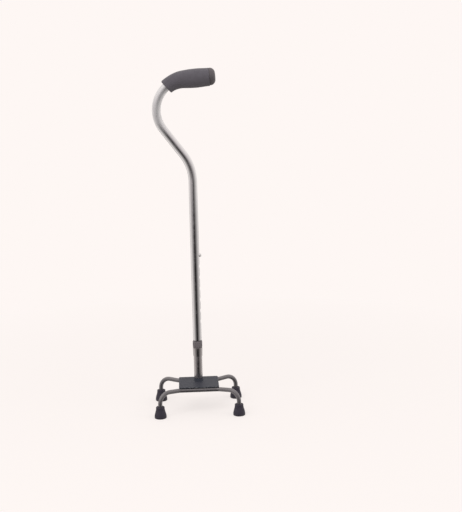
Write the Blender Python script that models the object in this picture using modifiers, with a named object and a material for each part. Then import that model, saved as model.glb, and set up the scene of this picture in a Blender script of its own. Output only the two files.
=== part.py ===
"""A small-base quad cane at its lowest height setting.

Four rubber tips on two bent rods carry a flat plate. A stem stands on the plate, behind its middle,
and holds the inner tube, which can turn once the lock ring is loosened. The handle tube slides on
the inner tube, held by a snap button in one of its holes, and ends in a swan neck with a foam grip.

Sizes are in metres. The origin is on the floor, in the middle of the four feet. +X is the way that
the grip points, +Y runs from the front feet to the rear feet and +Z is up.
"""

import math

import bmesh
import bpy
from mathutils import Vector
from mathutils.geometry import interpolate_bezier

# Clearances
REST_GAP = 0.0003  # between faces that rest on each other
FIT_GAP = 0.00015  # round a piece that is guided or pressed in, per side
RUNNING_GAP = 0.0003  # round a piece that turns or travels freely, per side

# Feet
FOOT_SPACING_X = 0.175
FOOT_SPACING_Y = 0.1248
FOOT_HEIGHT = 0.0255
FOOT_TOP_RADIUS = 0.0096
FOOT_SKIRT_RADIUS = 0.0134
FOOT_SKIRT_HEIGHT = 0.0032  # height of the widest ring of the skirt
FOOT_FLARE_TOP = 0.017  # height where the sides start to flare
FOOT_FLARE_BOTTOM = 0.0095  # height where the flare has spent its strength
FOOT_EDGE_ROUNDING = 0.0013
FOOT_TREAD_WIDTH = 0.004  # the flat ring that touches the floor
FOOT_TREAD_DEPTH = 0.0012
FOOT_RIB_RADIUS = 0.0055  # of the ring-shaped rib inside the tread
FOOT_RIB_WIDTH = 0.0014
FOOT_RIB_HEIGHT = 0.0008
FOOT_SOLE = 0.008  # rubber between the floor and the steel washer
WASHER_RADIUS = 0.0062
WASHER_THICKNESS = 0.0015

# Bows, the two bent rods of the base
ROD_RADIUS = 0.00475
BOW_HEIGHT = 0.05325  # floor to the rod's centre line under the plate
BOW_ARM_RISE = 0.0025  # how far an arm climbs from the plate to its knee
BOW_SPACING = 0.076  # between the two rods, where the plate rests on them
BOW_SPLAY_START = 0.044  # from the middle to where an arm turns outwards
BOW_SPLAY_RADIUS = 0.022
BOW_KNEE_RADIUS = 0.0235

# Plate
PLATE_WIDTH = 0.090
PLATE_DEPTH = 0.083
PLATE_THICKNESS = 0.0022
PLATE_CORNER_RADIUS = 0.004
PLATE_EDGE_ROUNDING = 0.0006

# Stem, behind the middle of the plate
SHAFT_OFFSET = 0.018
STEM_WALL = 0.0017
STEM_HEIGHT = 0.0749  # above the plate
STEM_FOOT_LENGTH = 0.0015  # below the plate
WELD_WIDTH = 0.003
WELD_HEIGHT = 0.0044
PLUG_FLANGE_THICKNESS = 0.002
PLUG_SEAT_HEIGHT = 0.008  # above the stem's lower end
PLUG_SPIGOT_LENGTH = 0.010
PLUG_SPIGOT_WALL = 0.0022

# Collet bush and lock ring
COLLET_SKIRT_LENGTH = 0.018
COLLET_SKIRT_WALL = 0.0006  # at its lower edge
COLLET_SHOULDER_WALL = 0.0011
COLLET_FINGER_WALL = 0.0016
COLLET_SLOT_WIDTH = 0.0014
COLLET_CONE_HEIGHT = 0.0043
COLLET_CONE_DEPTH = 0.0008
RING_HEIGHT = 0.0158
RING_WALL = 0.0014
RING_LIP = 0.0012
RING_FLUTES = 10
RING_FLUTE_RADIUS = 0.0024
RING_FLUTE_DEPTH = 0.0007
RING_TAPER_DEPTH = 0.0009  # how far the ring's side leans in towards its two rims
RING_TAPER_HEIGHT = 0.0025

# Inner tube
INNER_RADIUS = 0.0075
INNER_WALL = 0.0012
INNER_TOP_ABOVE_BUTTON = 0.028
GUIDE_LENGTH = 0.008
GUIDE_SPIGOT_LENGTH = 0.010
GUIDE_BORE_RADIUS = 0.0035

# Handle tube
LINER_WALL = 0.0005
LINER_LENGTH = 0.020
LINER_FLANGE = 0.001
HANDLE_WALL = 0.0012
BUTTON_RISE = 0.1958  # from the tube's lower end to the button
HOLE_PITCH = 0.0254
HEIGHT_STEPS = 6
NECK_CORNER_RISE = 0.3964  # from the tube's lower end to where shaft and neck lines cross
NECK_LEAN = math.radians(37.0)
NECK_LOWER_RADIUS = 0.098
NECK_UPPER_RADIUS = 0.0673
GRIP_LINE_RISE = 0.587  # from the tube's lower end to the grip's axis, at the shaft
GRIP_TILT = math.radians(4.0)  # the grip climbs a little towards its free end
HANDLE_END = 0.042  # from the shaft to the tube's free end

# Snap button and its spring
BUTTON_RADIUS = 0.0039
BUTTON_PROTRUSION = 0.005
BUTTON_DOME_HEIGHT = 0.0024
RIVET_RADIUS = 0.0016
RIVET_HEAD_RADIUS = 0.0026
RIVET_HEAD_THICKNESS = 0.0009
SPRING_THICKNESS = 0.0007
SPRING_WIDTH = 0.007
SPRING_LEG_TOP = 0.008  # above the button
SPRING_KNEE_DROP = 0.010  # below the button
SPRING_LENGTH = 0.046  # below the button
SPRING_BEND_RADIUS = 0.002
SPRING_WALL_INSET = 0.0016  # from the inner tube's bore to the strip

# Foam grip and end cap
GRIP_LENGTH = 0.099  # along the tube, from the bend to the tube's free end
GRIP_NECK_RADIUS = 0.0160
GRIP_PALM_RADIUS = 0.0202
GRIP_END_RADIUS = 0.0191
GRIP_SWELL_LENGTH = 0.070  # from the neck end to the thickest place
GRIP_EDGE_ROUNDING = 0.0028
CAP_RADIUS = 0.0189
CAP_THICKNESS = 0.0122
CAP_EDGE_RADIUS = 0.0085
CAP_CROWN = 0.0012  # how far the cap's face bulges inside its rounded edge
CAP_SPIGOT_LENGTH = 0.014

# How finely round shapes are faceted
TURN_STEPS = 28
SMALL_TURN_STEPS = 20
HANDLE_SIDES = 24
ROD_SIDES = 14
ARC_STEP = math.radians(10.0)

# Sizes that follow from those above
ROD_END_HEIGHT = FOOT_SOLE + WASHER_THICKNESS + 2 * REST_GAP
PLATE_BOTTOM = BOW_HEIGHT + ROD_RADIUS + REST_GAP
PLATE_TOP = PLATE_BOTTOM + PLATE_THICKNESS
STEM_BORE = INNER_RADIUS + RUNNING_GAP
STEM_RADIUS = STEM_BORE + STEM_WALL
STEM_BOTTOM = PLATE_BOTTOM - STEM_FOOT_LENGTH
STEM_TOP = PLATE_TOP + STEM_HEIGHT
PLUG_SEAT = STEM_BOTTOM + PLUG_SEAT_HEIGHT
COLLET_SHOULDER = STEM_TOP + REST_GAP
COLLET_BORE = INNER_RADIUS + FIT_GAP
COLLET_FINGER_RADIUS = COLLET_BORE + COLLET_FINGER_WALL
RING_BOTTOM = COLLET_SHOULDER + COLLET_SHOULDER_WALL
RING_TOP = RING_BOTTOM + RING_HEIGHT
RING_BORE = COLLET_FINGER_RADIUS + RUNNING_GAP
RING_RADIUS = RING_BORE + RING_WALL
COLLET_TOP = RING_TOP - RING_LIP - REST_GAP
INNER_BORE = INNER_RADIUS - INNER_WALL
INNER_BOTTOM = PLUG_SEAT + REST_GAP
LINER_BORE = INNER_RADIUS + FIT_GAP
HANDLE_BORE = LINER_BORE + LINER_WALL + FIT_GAP
HANDLE_RADIUS = HANDLE_BORE + HANDLE_WALL
HANDLE_BOTTOM = RING_TOP + 2 * REST_GAP + LINER_FLANGE
BUTTON_HEIGHT = HANDLE_BOTTOM + BUTTON_RISE
BUTTON_TIP = HANDLE_RADIUS + BUTTON_PROTRUSION
BUTTON_HOLE_RADIUS = BUTTON_RADIUS + RUNNING_GAP
INNER_TOP = BUTTON_HEIGHT + INNER_TOP_ABOVE_BUTTON
SPRING_OUTSIDE = INNER_BORE - SPRING_WALL_INSET
SPRING_INSIDE = SPRING_OUTSIDE - SPRING_THICKNESS


def clear_scene():
    for obj in list(bpy.data.objects):
        bpy.data.objects.remove(obj, do_unlink=True)


def add_collection(name):
    collection = bpy.data.collections.new(name)
    bpy.context.scene.collection.children.link(collection)
    return collection


def add_material(name, colour, roughness, metallic=0.0):
    material = bpy.data.materials.new(name)
    material.use_nodes = True
    shader = material.node_tree.nodes["Principled BSDF"]
    shader.inputs["Base Color"].default_value = (*colour, 1.0)
    shader.inputs["Roughness"].default_value = roughness
    shader.inputs["Metallic"].default_value = metallic
    return material


def add_empty(name, location, parent=None):
    empty = bpy.data.objects.new(name, None)
    empty.empty_display_size = 0.02
    empty.location = location
    empty.parent = parent
    parts.objects.link(empty)
    return empty


def add_part(name, data, material, parent, location=(0, 0, 0), rotation=(0, 0, 0)):
    """Puts mesh or curve data in the scene as one sub-part."""
    obj = bpy.data.objects.new(name, data)
    obj.location = location
    obj.rotation_euler = rotation
    obj.parent = parent
    data.materials.append(material)
    parts.objects.link(obj)
    return obj


def add_cutter(name, mesh, parent, location=(0, 0, 0), rotation=(0, 0, 0)):
    cutter = bpy.data.objects.new(name, mesh)
    cutter.location = location
    cutter.rotation_euler = rotation
    cutter.parent = parent
    cutter.hide_render = True
    cutter.display_type = "WIRE"
    cutters.objects.link(cutter)
    return cutter


def cut(obj, cutter):
    boolean = obj.modifiers.new(cutter.name, "BOOLEAN")
    boolean.operation = "DIFFERENCE"
    boolean.solver = "EXACT"
    boolean.object = cutter


def smooth(obj):
    """Shades the mesh smooth, apart from its sharp edges."""
    obj.data.shade_smooth()
    obj.data.set_sharp_from_angle(angle=math.radians(35))


def profile_mesh(name, profile, ring):
    """The outline of a turned shape at +X: (radius, height) pairs, down the outside first."""
    mesh = bpy.data.meshes.new(name)
    shape = bmesh.new()
    verts = [shape.verts.new((radius, 0.0, height)) for radius, height in profile]
    for first, second in zip(verts, verts[1:]):
        shape.edges.new((first, second))
    if ring:
        shape.edges.new((verts[-1], verts[0]))
    shape.to_mesh(mesh)
    shape.free()
    return mesh


def spin(obj, steps):
    """Turns the object's profile round its own Z axis."""
    screw = obj.modifiers.new("turned", "SCREW")
    screw.steps = steps
    screw.render_steps = steps
    screw.use_merge_vertices = True
    screw.merge_threshold = 0.000001
    screw.use_smooth_shade = False


def turned_mesh(name, profile, ring, steps):
    """A turned shape as plain mesh data, shaded smooth."""
    helper = bpy.data.objects.new(name, profile_mesh(name, profile, ring))
    bpy.context.scene.collection.objects.link(helper)
    spin(helper, steps)
    mesh = mesh_of(helper)
    bpy.data.objects.remove(helper, do_unlink=True)
    mesh.name = name
    return mesh


def mesh_of(obj):
    """The object's evaluated shape as mesh data, with the caps of a curve welded to its sides."""
    bpy.context.view_layer.update()
    graph = bpy.context.evaluated_depsgraph_get()
    mesh = bpy.data.meshes.new_from_object(obj.evaluated_get(graph))
    shape = bmesh.new()
    shape.from_mesh(mesh)
    bmesh.ops.remove_doubles(shape, verts=shape.verts, dist=0.000001)
    shape.to_mesh(mesh)
    shape.free()
    return mesh


def add_turned(name, profile, material, parent, ring=False, steps=TURN_STEPS, **place):
    """Adds a sub-part turned from a profile. A ring has a bore, so its profile is a closed loop."""
    obj = add_part(name, turned_mesh(name, profile, ring, steps), material, parent, **place)
    smooth(obj)
    return obj


def cylinder_mesh(name, radius, length, sides):
    """A cylinder that stands on its origin, along +Z."""
    mesh = bpy.data.meshes.new(name)
    shape = bmesh.new()
    bmesh.ops.create_cone(
        shape, cap_ends=True, segments=sides, radius1=radius, radius2=radius, depth=length
    )
    bmesh.ops.translate(shape, verts=shape.verts, vec=(0, 0, length / 2))
    shape.to_mesh(mesh)
    shape.free()
    return mesh


def rounded_path(corners, radii):
    """A path through the corners, each inner corner rounded with its radius."""
    points = [Vector(corners[0])]
    for before, corner, after, radius in zip(corners, corners[1:], corners[2:], radii):
        corner = Vector(corner)
        back = (Vector(before) - corner).normalized()
        ahead = (Vector(after) - corner).normalized()
        turn = math.pi - back.angle(ahead)
        centre = corner + (back + ahead).normalized() * radius / math.cos(turn / 2)
        start = corner + back * radius * math.tan(turn / 2) - centre
        sideways = -back
        steps = math.ceil(turn / ARC_STEP)
        for step in range(steps + 1):
            angle = turn * step / steps
            points.append(centre + start * math.cos(angle) + sideways * radius * math.sin(angle))
    points.append(Vector(corners[-1]))
    return points


def tube_curve(name, points, radii, sides, capped=True):
    """A round bar along the points. Radii is one radius, or one for each point."""
    curve = bpy.data.curves.new(name, "CURVE")
    curve.dimensions = "3D"
    curve.bevel_depth = 1.0
    curve.bevel_resolution = (sides - 4) // 2
    curve.use_fill_caps = capped
    spline = curve.splines.new("POLY")
    spline.points.add(len(points) - 1)
    if not isinstance(radii, list):
        radii = [radii] * len(points)
    for knot, point, radius in zip(spline.points, points, radii):
        knot.co = (*point, 1.0)
        knot.radius = radius
    return curve


def tube_mesh(name, points, radii, sides, capped=True):
    """The same bar as mesh data."""
    helper = bpy.data.objects.new(name, tube_curve(name, points, radii, sides, capped))
    bpy.context.scene.collection.objects.link(helper)
    mesh = mesh_of(helper)
    curve = helper.data
    bpy.data.objects.remove(helper, do_unlink=True)
    bpy.data.curves.remove(curve)
    return mesh


def lengths_along(points):
    """The distance of each point from the first, along the path."""
    total = 0.0
    lengths = [0.0]
    for first, second in zip(points, points[1:]):
        total += (second - first).length
        lengths.append(total)
    return lengths


def point_along(points, distance):
    """The point of the path at this distance from its start."""
    lengths = lengths_along(points)
    for index in range(1, len(points)):
        if distance <= lengths[index] or index == len(points) - 1:
            share = (distance - lengths[index - 1]) / (lengths[index] - lengths[index - 1])
            return points[index - 1].lerp(points[index], share)


def stretch(points, start, end, extra):
    """The part of a path between two distances, with points also at the extra distances."""
    inner = [length for length in lengths_along(points) if start < length < end]
    wanted = sorted({start, end, *inner, *extra})
    kept = [wanted[0]]
    for distance in wanted[1:]:
        if distance - kept[-1] > 0.0002:
            kept.append(distance)
    return kept, [point_along(points, distance) for distance in kept]


def foot_profile():
    """A bell-shaped tip: a socket over a moulded-in washer, a flared skirt and a ringed tread."""
    tread_outside = FOOT_SKIRT_RADIUS - FOOT_EDGE_ROUNDING
    tread_inside = tread_outside - FOOT_TREAD_WIDTH
    pocket_radius = WASHER_RADIUS + REST_GAP
    pocket_top = FOOT_SOLE + WASHER_THICKNESS + REST_GAP
    socket_radius = ROD_RADIUS + FIT_GAP
    bell = interpolate_bezier(
        (FOOT_TOP_RADIUS, FOOT_HEIGHT - FOOT_EDGE_ROUNDING, 0),
        (FOOT_TOP_RADIUS, FOOT_FLARE_TOP, 0),
        (FOOT_SKIRT_RADIUS, FOOT_FLARE_BOTTOM, 0),
        (FOOT_SKIRT_RADIUS, FOOT_SKIRT_HEIGHT, 0),
        7,
    )
    return [
        (0.0, FOOT_SOLE),
        (pocket_radius, FOOT_SOLE),
        (pocket_radius, pocket_top),
        (socket_radius, pocket_top),
        (socket_radius, FOOT_HEIGHT),
        (FOOT_TOP_RADIUS - FOOT_EDGE_ROUNDING, FOOT_HEIGHT),
        *[(point.x, point.y) for point in bell],
        (FOOT_SKIRT_RADIUS - FOOT_EDGE_ROUNDING * 0.3, FOOT_EDGE_ROUNDING * 0.7),
        (tread_outside, 0.0),
        (tread_inside, 0.0),
        (tread_inside - FOOT_TREAD_DEPTH, FOOT_TREAD_DEPTH),
        (FOOT_RIB_RADIUS + FOOT_RIB_WIDTH / 2, FOOT_TREAD_DEPTH),
        (FOOT_RIB_RADIUS + FOOT_RIB_WIDTH / 2, FOOT_TREAD_DEPTH - FOOT_RIB_HEIGHT),
        (FOOT_RIB_RADIUS - FOOT_RIB_WIDTH / 2, FOOT_TREAD_DEPTH - FOOT_RIB_HEIGHT),
        (FOOT_RIB_RADIUS - FOOT_RIB_WIDTH / 2, FOOT_TREAD_DEPTH),
        (0.0, FOOT_TREAD_DEPTH),
    ]


def washer_profile():
    top = FOOT_SOLE + REST_GAP / 2 + WASHER_THICKNESS
    return [
        (0.0, top),
        (WASHER_RADIUS, top),
        (WASHER_RADIUS, top - WASHER_THICKNESS),
        (0.0, top - WASHER_THICKNESS),
    ]


def make_feet():
    for row, side_y in (("front", -1), ("rear", 1)):
        for hand, side_x in (("left", -1), ("right", 1)):
            place = (side_x * FOOT_SPACING_X / 2, side_y * FOOT_SPACING_Y / 2, 0)
            add_turned(
                f"foot_tip_{row}_{hand}",
                foot_profile(),
                rubber,
                base,
                steps=SMALL_TURN_STEPS,
                location=place,
            )
            add_turned(
                f"tip_washer_{row}_{hand}",
                washer_profile(),
                bare_steel,
                base,
                steps=SMALL_TURN_STEPS,
                location=place,
            )


def bow_path(side_y):
    """From the left foot up its leg, along the arm, under the plate, and down to the right foot."""
    foot_x = FOOT_SPACING_X / 2
    foot_y = side_y * FOOT_SPACING_Y / 2
    plate_y = side_y * BOW_SPACING / 2
    knee_height = BOW_HEIGHT + BOW_ARM_RISE
    corners = [
        (-foot_x, foot_y, ROD_END_HEIGHT),
        (-foot_x, foot_y, knee_height),
        (-BOW_SPLAY_START, plate_y, BOW_HEIGHT),
        (BOW_SPLAY_START, plate_y, BOW_HEIGHT),
        (foot_x, foot_y, knee_height),
        (foot_x, foot_y, ROD_END_HEIGHT),
    ]
    radii = [BOW_KNEE_RADIUS, BOW_SPLAY_RADIUS, BOW_SPLAY_RADIUS, BOW_KNEE_RADIUS]
    return rounded_path(corners, radii)


def make_bows():
    for name, side_y in (("front_bow", -1), ("rear_bow", 1)):
        add_part(name, tube_curve(name, bow_path(side_y), ROD_RADIUS, ROD_SIDES), rod_finish, base)


def rounded_rectangle(width, depth, radius):
    """The outline's points, counter-clockwise from the right side."""
    points = []
    steps = 4
    for quarter in range(4):
        side_x = 1 if quarter in (0, 3) else -1
        side_y = 1 if quarter in (0, 1) else -1
        centre_x = side_x * (width / 2 - radius)
        centre_y = side_y * (depth / 2 - radius)
        for step in range(steps + 1):
            angle = (quarter + step / steps) * math.pi / 2
            points.append(
                (centre_x + radius * math.cos(angle), centre_y + radius * math.sin(angle))
            )
    return points


def make_plate():
    """A flat pressing with a hole for the stem, its edges rounded over."""
    curve = bpy.data.curves.new("base_plate", "CURVE")
    curve.dimensions = "2D"
    curve.fill_mode = "BOTH"
    curve.extrude = PLATE_THICKNESS / 2 - PLATE_EDGE_ROUNDING
    curve.bevel_depth = PLATE_EDGE_ROUNDING
    curve.bevel_resolution = 1
    curve.offset = -PLATE_EDGE_ROUNDING
    hole_radius = STEM_RADIUS + FIT_GAP
    hole = [
        (
            hole_radius * math.cos(-2 * math.pi * step / TURN_STEPS),
            SHAFT_OFFSET + hole_radius * math.sin(-2 * math.pi * step / TURN_STEPS),
        )
        for step in range(TURN_STEPS)
    ]
    for outline in (rounded_rectangle(PLATE_WIDTH, PLATE_DEPTH, PLATE_CORNER_RADIUS), hole):
        spline = curve.splines.new("POLY")
        spline.points.add(len(outline) - 1)
        spline.use_cyclic_u = True
        for knot, (x, y) in zip(spline.points, outline):
            knot.co = (x, y, 0.0, 1.0)
    middle = PLATE_BOTTOM + PLATE_THICKNESS / 2
    add_part("base_plate", curve, base_paint, base, location=(0, 0, middle))


def make_stem():
    """The stem tube passes through the plate and is welded round its foot."""
    weld = [
        (
            STEM_RADIUS + WELD_WIDTH * (1 - math.sin(angle)),
            PLATE_TOP + REST_GAP + WELD_HEIGHT * (1 - math.cos(angle)),
        )
        for angle in (math.radians(90 - 22.5 * step) for step in range(5))
    ]
    profile = [
        (STEM_RADIUS, STEM_TOP),
        *weld,
        (STEM_RADIUS, PLATE_TOP + REST_GAP),
        (STEM_RADIUS, STEM_BOTTOM),
        (STEM_BORE, STEM_BOTTOM),
        (STEM_BORE, STEM_TOP),
    ]
    add_turned("stem_tube", profile, plating, shaft_axis, ring=True)


def make_thrust_plug():
    """The nylon plug that closes the stem's foot, carries the inner tube and centres it."""
    body = STEM_BORE - FIT_GAP
    spigot = INNER_BORE - FIT_GAP
    bottom = STEM_BOTTOM - REST_GAP - PLUG_FLANGE_THICKNESS
    profile = [
        (spigot, PLUG_SEAT + PLUG_SPIGOT_LENGTH),
        (spigot, PLUG_SEAT),
        (body, PLUG_SEAT),
        (body, STEM_BOTTOM - REST_GAP),
        (STEM_RADIUS, STEM_BOTTOM - REST_GAP),
        (STEM_RADIUS, bottom),
        (spigot - PLUG_SPIGOT_WALL, bottom),
        (spigot - PLUG_SPIGOT_WALL, PLUG_SEAT + PLUG_SPIGOT_LENGTH),
    ]
    add_turned("thrust_plug", profile, nylon, shaft_axis, ring=True)


def make_collet():
    """A bush over the stem's top. Its slotted fingers grip the inner tube."""
    stem_fit = STEM_RADIUS + FIT_GAP
    cone_bottom = COLLET_TOP - COLLET_CONE_HEIGHT
    skirt_bottom = STEM_TOP - COLLET_SKIRT_LENGTH
    profile = [
        (COLLET_FINGER_RADIUS - COLLET_CONE_DEPTH, COLLET_TOP),
        (COLLET_FINGER_RADIUS, cone_bottom),
        (COLLET_FINGER_RADIUS, RING_BOTTOM - REST_GAP),
        (stem_fit + COLLET_SHOULDER_WALL, RING_BOTTOM - REST_GAP),
        (stem_fit + COLLET_SHOULDER_WALL, STEM_TOP - COLLET_SHOULDER_WALL),
        (stem_fit + COLLET_SKIRT_WALL, skirt_bottom),
        (stem_fit, skirt_bottom),
        (stem_fit, COLLET_SHOULDER),
        (COLLET_BORE, COLLET_SHOULDER),
        (COLLET_BORE, COLLET_TOP),
    ]
    collet = add_turned("collet_bush", profile, plating, shaft_axis, ring=True)
    slot_bottom = RING_BOTTOM + COLLET_SHOULDER_WALL
    slot_height = COLLET_TOP - slot_bottom + REST_GAP
    for number in range(2):
        mesh = bpy.data.meshes.new("collet_slot")
        shape = bmesh.new()
        bmesh.ops.create_cube(shape, size=1.0)
        size = (2 * RING_RADIUS, COLLET_SLOT_WIDTH, slot_height)
        bmesh.ops.scale(shape, vec=size, verts=shape.verts)
        shape.to_mesh(mesh)
        shape.free()
        cutter = add_cutter(
            f"collet_slot_{number}",
            mesh,
            shaft_axis,
            location=(0, 0, slot_bottom + slot_height / 2),
            rotation=(0, 0, math.pi / 4 + number * math.pi / 2),
        )
        cut(collet, cutter)


def flute_mesh():
    """The finger flutes of the lock ring, as one cutter of separate round bars."""
    shape = bmesh.new()
    for number in range(RING_FLUTES):
        angle = 2 * math.pi * number / RING_FLUTES
        distance = RING_RADIUS + RING_FLUTE_RADIUS - RING_FLUTE_DEPTH
        bar = bmesh.ops.create_cone(
            shape,
            cap_ends=True,
            segments=12,
            radius1=RING_FLUTE_RADIUS,
            radius2=RING_FLUTE_RADIUS,
            depth=RING_HEIGHT * 2,
        )
        offset = (distance * math.cos(angle), distance * math.sin(angle), 0)
        bmesh.ops.translate(shape, verts=bar["verts"], vec=offset)
    mesh = bpy.data.meshes.new("ring_flutes")
    shape.to_mesh(mesh)
    shape.free()
    return mesh


def make_lock_ring():
    """A fluted nut over the collet. Its inner cone closes the fingers as it is turned down."""
    cone_bottom = COLLET_TOP - COLLET_CONE_HEIGHT
    lip_bore = COLLET_BORE + RUNNING_GAP
    profile = [
        (RING_RADIUS - RING_TAPER_DEPTH, RING_TOP),
        (RING_RADIUS, RING_TOP - RING_TAPER_HEIGHT),
        (RING_RADIUS, RING_BOTTOM + RING_TAPER_HEIGHT),
        (RING_RADIUS - RING_TAPER_DEPTH, RING_BOTTOM),
        (RING_BORE, RING_BOTTOM),
        (RING_BORE, cone_bottom),
        (RING_BORE - COLLET_CONE_DEPTH, RING_TOP - RING_LIP),
        (lip_bore, RING_TOP - RING_LIP),
        (lip_bore, RING_TOP),
    ]
    ring = add_turned("lock_ring", profile, ring_plastic, shaft_axis, ring=True, steps=3 * RING_FLUTES)
    cutter = add_cutter(
        "ring_flutes", flute_mesh(), shaft_axis, location=(0, 0, RING_BOTTOM + RING_HEIGHT / 2)
    )
    cut(ring, cutter)


def tube_profile(outside, bore, bottom, top):
    return [(outside, top), (outside, bottom), (bore, bottom), (bore, top)]


def button_drill(name, parent, height):
    """A cutter through the tube walls on the button's side only."""
    mesh = cylinder_mesh(name, BUTTON_HOLE_RADIUS, 2 * HANDLE_RADIUS, SMALL_TURN_STEPS)
    return add_cutter(name, mesh, parent, location=(0, 0, height), rotation=(0, math.pi / 2, 0))


def make_inner_tube():
    profile = tube_profile(INNER_RADIUS, INNER_BORE, INNER_BOTTOM, INNER_TOP)
    tube = add_turned("inner_tube", profile, bare_steel, shaft_axis, ring=True)
    cut(tube, button_drill("inner_tube_hole", shaft_axis, BUTTON_HEIGHT))


def make_top_guide():
    """The bush that keeps the inner tube's top central in the handle tube."""
    spigot = INNER_BORE - FIT_GAP
    guide = HANDLE_BORE - FIT_GAP
    seat = INNER_TOP + REST_GAP
    profile = [
        (guide, seat + GUIDE_LENGTH),
        (guide, seat),
        (spigot, seat),
        (spigot, seat - GUIDE_SPIGOT_LENGTH),
        (GUIDE_BORE_RADIUS, seat - GUIDE_SPIGOT_LENGTH),
        (GUIDE_BORE_RADIUS, seat + GUIDE_LENGTH),
    ]
    add_turned("top_guide", profile, nylon, shaft_axis, ring=True)


def make_snap_button():
    """A domed pin, riveted to its spring, that comes out through both tube walls."""
    shoulder = SPRING_OUTSIDE + REST_GAP
    rivet_face = SPRING_INSIDE - REST_GAP
    dome_base = BUTTON_TIP - BUTTON_DOME_HEIGHT
    dome = [
        (
            BUTTON_RADIUS * math.sin(angle),
            dome_base + BUTTON_DOME_HEIGHT * math.cos(angle),
        )
        for angle in (math.radians(22.5 * step) for step in range(5))
    ]
    profile = [
        *dome,
        (BUTTON_RADIUS, shoulder),
        (RIVET_RADIUS, shoulder),
        (RIVET_RADIUS, rivet_face),
        (RIVET_HEAD_RADIUS, rivet_face),
        (RIVET_HEAD_RADIUS, rivet_face - RIVET_HEAD_THICKNESS),
        (0.0, rivet_face - RIVET_HEAD_THICKNESS),
    ]
    add_turned(
        "snap_button",
        profile,
        bare_steel,
        button_axis,
        steps=SMALL_TURN_STEPS,
        rotation=(0, math.pi / 2, 0),
    )


def make_button_spring():
    """A V-shaped strip: one leg carries the button, the other bears on the tube's far wall."""
    leg = (SPRING_OUTSIDE + SPRING_INSIDE) / 2
    corners = [
        (leg, SPRING_LEG_TOP, 0),
        (leg, -SPRING_KNEE_DROP, 0),
        (0, -SPRING_LENGTH, 0),
        (-leg, -SPRING_KNEE_DROP, 0),
        (-leg, 0, 0),
    ]
    radii = [4 * SPRING_BEND_RADIUS, SPRING_BEND_RADIUS, 4 * SPRING_BEND_RADIUS]
    path = rounded_path(corners, radii)
    curve = bpy.data.curves.new("button_spring", "CURVE")
    curve.dimensions = "2D"
    curve.fill_mode = "NONE"
    curve.extrude = SPRING_WIDTH / 2
    spline = curve.splines.new("POLY")
    spline.points.add(len(path) - 1)
    for knot, point in zip(spline.points, path):
        knot.co = (*point, 1.0)
    helper = bpy.data.objects.new("button_spring_path", curve)
    bpy.context.scene.collection.objects.link(helper)
    mesh = mesh_of(helper)
    bpy.data.objects.remove(helper, do_unlink=True)
    bpy.data.curves.remove(curve)
    spring = add_part(
        "button_spring", mesh, bare_steel, button_axis, rotation=(math.pi / 2, 0, 0)
    )
    strip = spring.modifiers.new("strip", "SOLIDIFY")
    strip.thickness = SPRING_THICKNESS
    strip.offset = 0.0
    strip.use_even_offset = True
    hole = cylinder_mesh("rivet_hole", RIVET_RADIUS + FIT_GAP, INNER_RADIUS, SMALL_TURN_STEPS)
    cut(spring, add_cutter("rivet_hole", hole, button_axis, rotation=(0, math.pi / 2, 0)))


def handle_path(extra=0.0):
    """Up the shaft, back along the neck, round the bend and along the grip's axis."""
    lean = math.tan(NECK_LEAN)
    climb = math.tan(GRIP_TILT)
    # The neck's line and the grip's line cross behind the bend.
    crossing = (NECK_CORNER_RISE - GRIP_LINE_RISE) * lean / (1 + climb * lean)
    end = HANDLE_END + extra
    corners = [
        (0, 0, 0),
        (0, 0, NECK_CORNER_RISE),
        (crossing, 0, GRIP_LINE_RISE + crossing * climb),
        (end, 0, GRIP_LINE_RISE + end * climb),
    ]
    return rounded_path(corners, [NECK_LOWER_RADIUS, NECK_UPPER_RADIUS])


def make_handle_tube():
    path = handle_path()
    mesh = tube_mesh("handle_tube", path, HANDLE_RADIUS, HANDLE_SIDES, capped=False)
    tube = add_part("handle_tube", mesh, chrome, handle)
    wall = tube.modifiers.new("wall", "SOLIDIFY")
    wall.thickness = HANDLE_WALL
    wall.offset = -1.0
    wall.use_even_offset = True
    for step in range(HEIGHT_STEPS + 1):
        drill = button_drill(f"height_hole_{step}", handle, BUTTON_RISE - step * HOLE_PITCH)
        cut(tube, drill)
    smooth(tube)


def make_liner():
    """The guide bush in the handle tube's lower end, with a flange under the tube's rim."""
    outside = HANDLE_BORE - FIT_GAP
    flange_top = -REST_GAP
    profile = [
        (outside, LINER_LENGTH),
        (outside, flange_top),
        (HANDLE_RADIUS, flange_top),
        (HANDLE_RADIUS, flange_top - LINER_FLANGE),
        (LINER_BORE, flange_top - LINER_FLANGE),
        (LINER_BORE, LINER_LENGTH),
    ]
    add_turned("tube_liner", profile, nylon, handle, ring=True)


def eased(start, end, share):
    """Goes from start to end with a level beginning and end."""
    return start + (end - start) * share * share * (3 - 2 * share)


def grip_radius(distance):
    """The foam's radius: it swells from the neck to the palm, and its ends are rounded."""
    if distance < GRIP_SWELL_LENGTH:
        radius = eased(GRIP_NECK_RADIUS, GRIP_PALM_RADIUS, distance / GRIP_SWELL_LENGTH)
    else:
        share = (distance - GRIP_SWELL_LENGTH) / (GRIP_LENGTH - GRIP_SWELL_LENGTH)
        radius = eased(GRIP_PALM_RADIUS, GRIP_END_RADIUS, share)
    for from_end in (distance, GRIP_LENGTH - distance):
        if from_end < GRIP_EDGE_ROUNDING:
            short = 1 - from_end / GRIP_EDGE_ROUNDING
            radius -= GRIP_EDGE_ROUNDING * (1 - math.sqrt(1 - short * short))
    return radius


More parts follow.
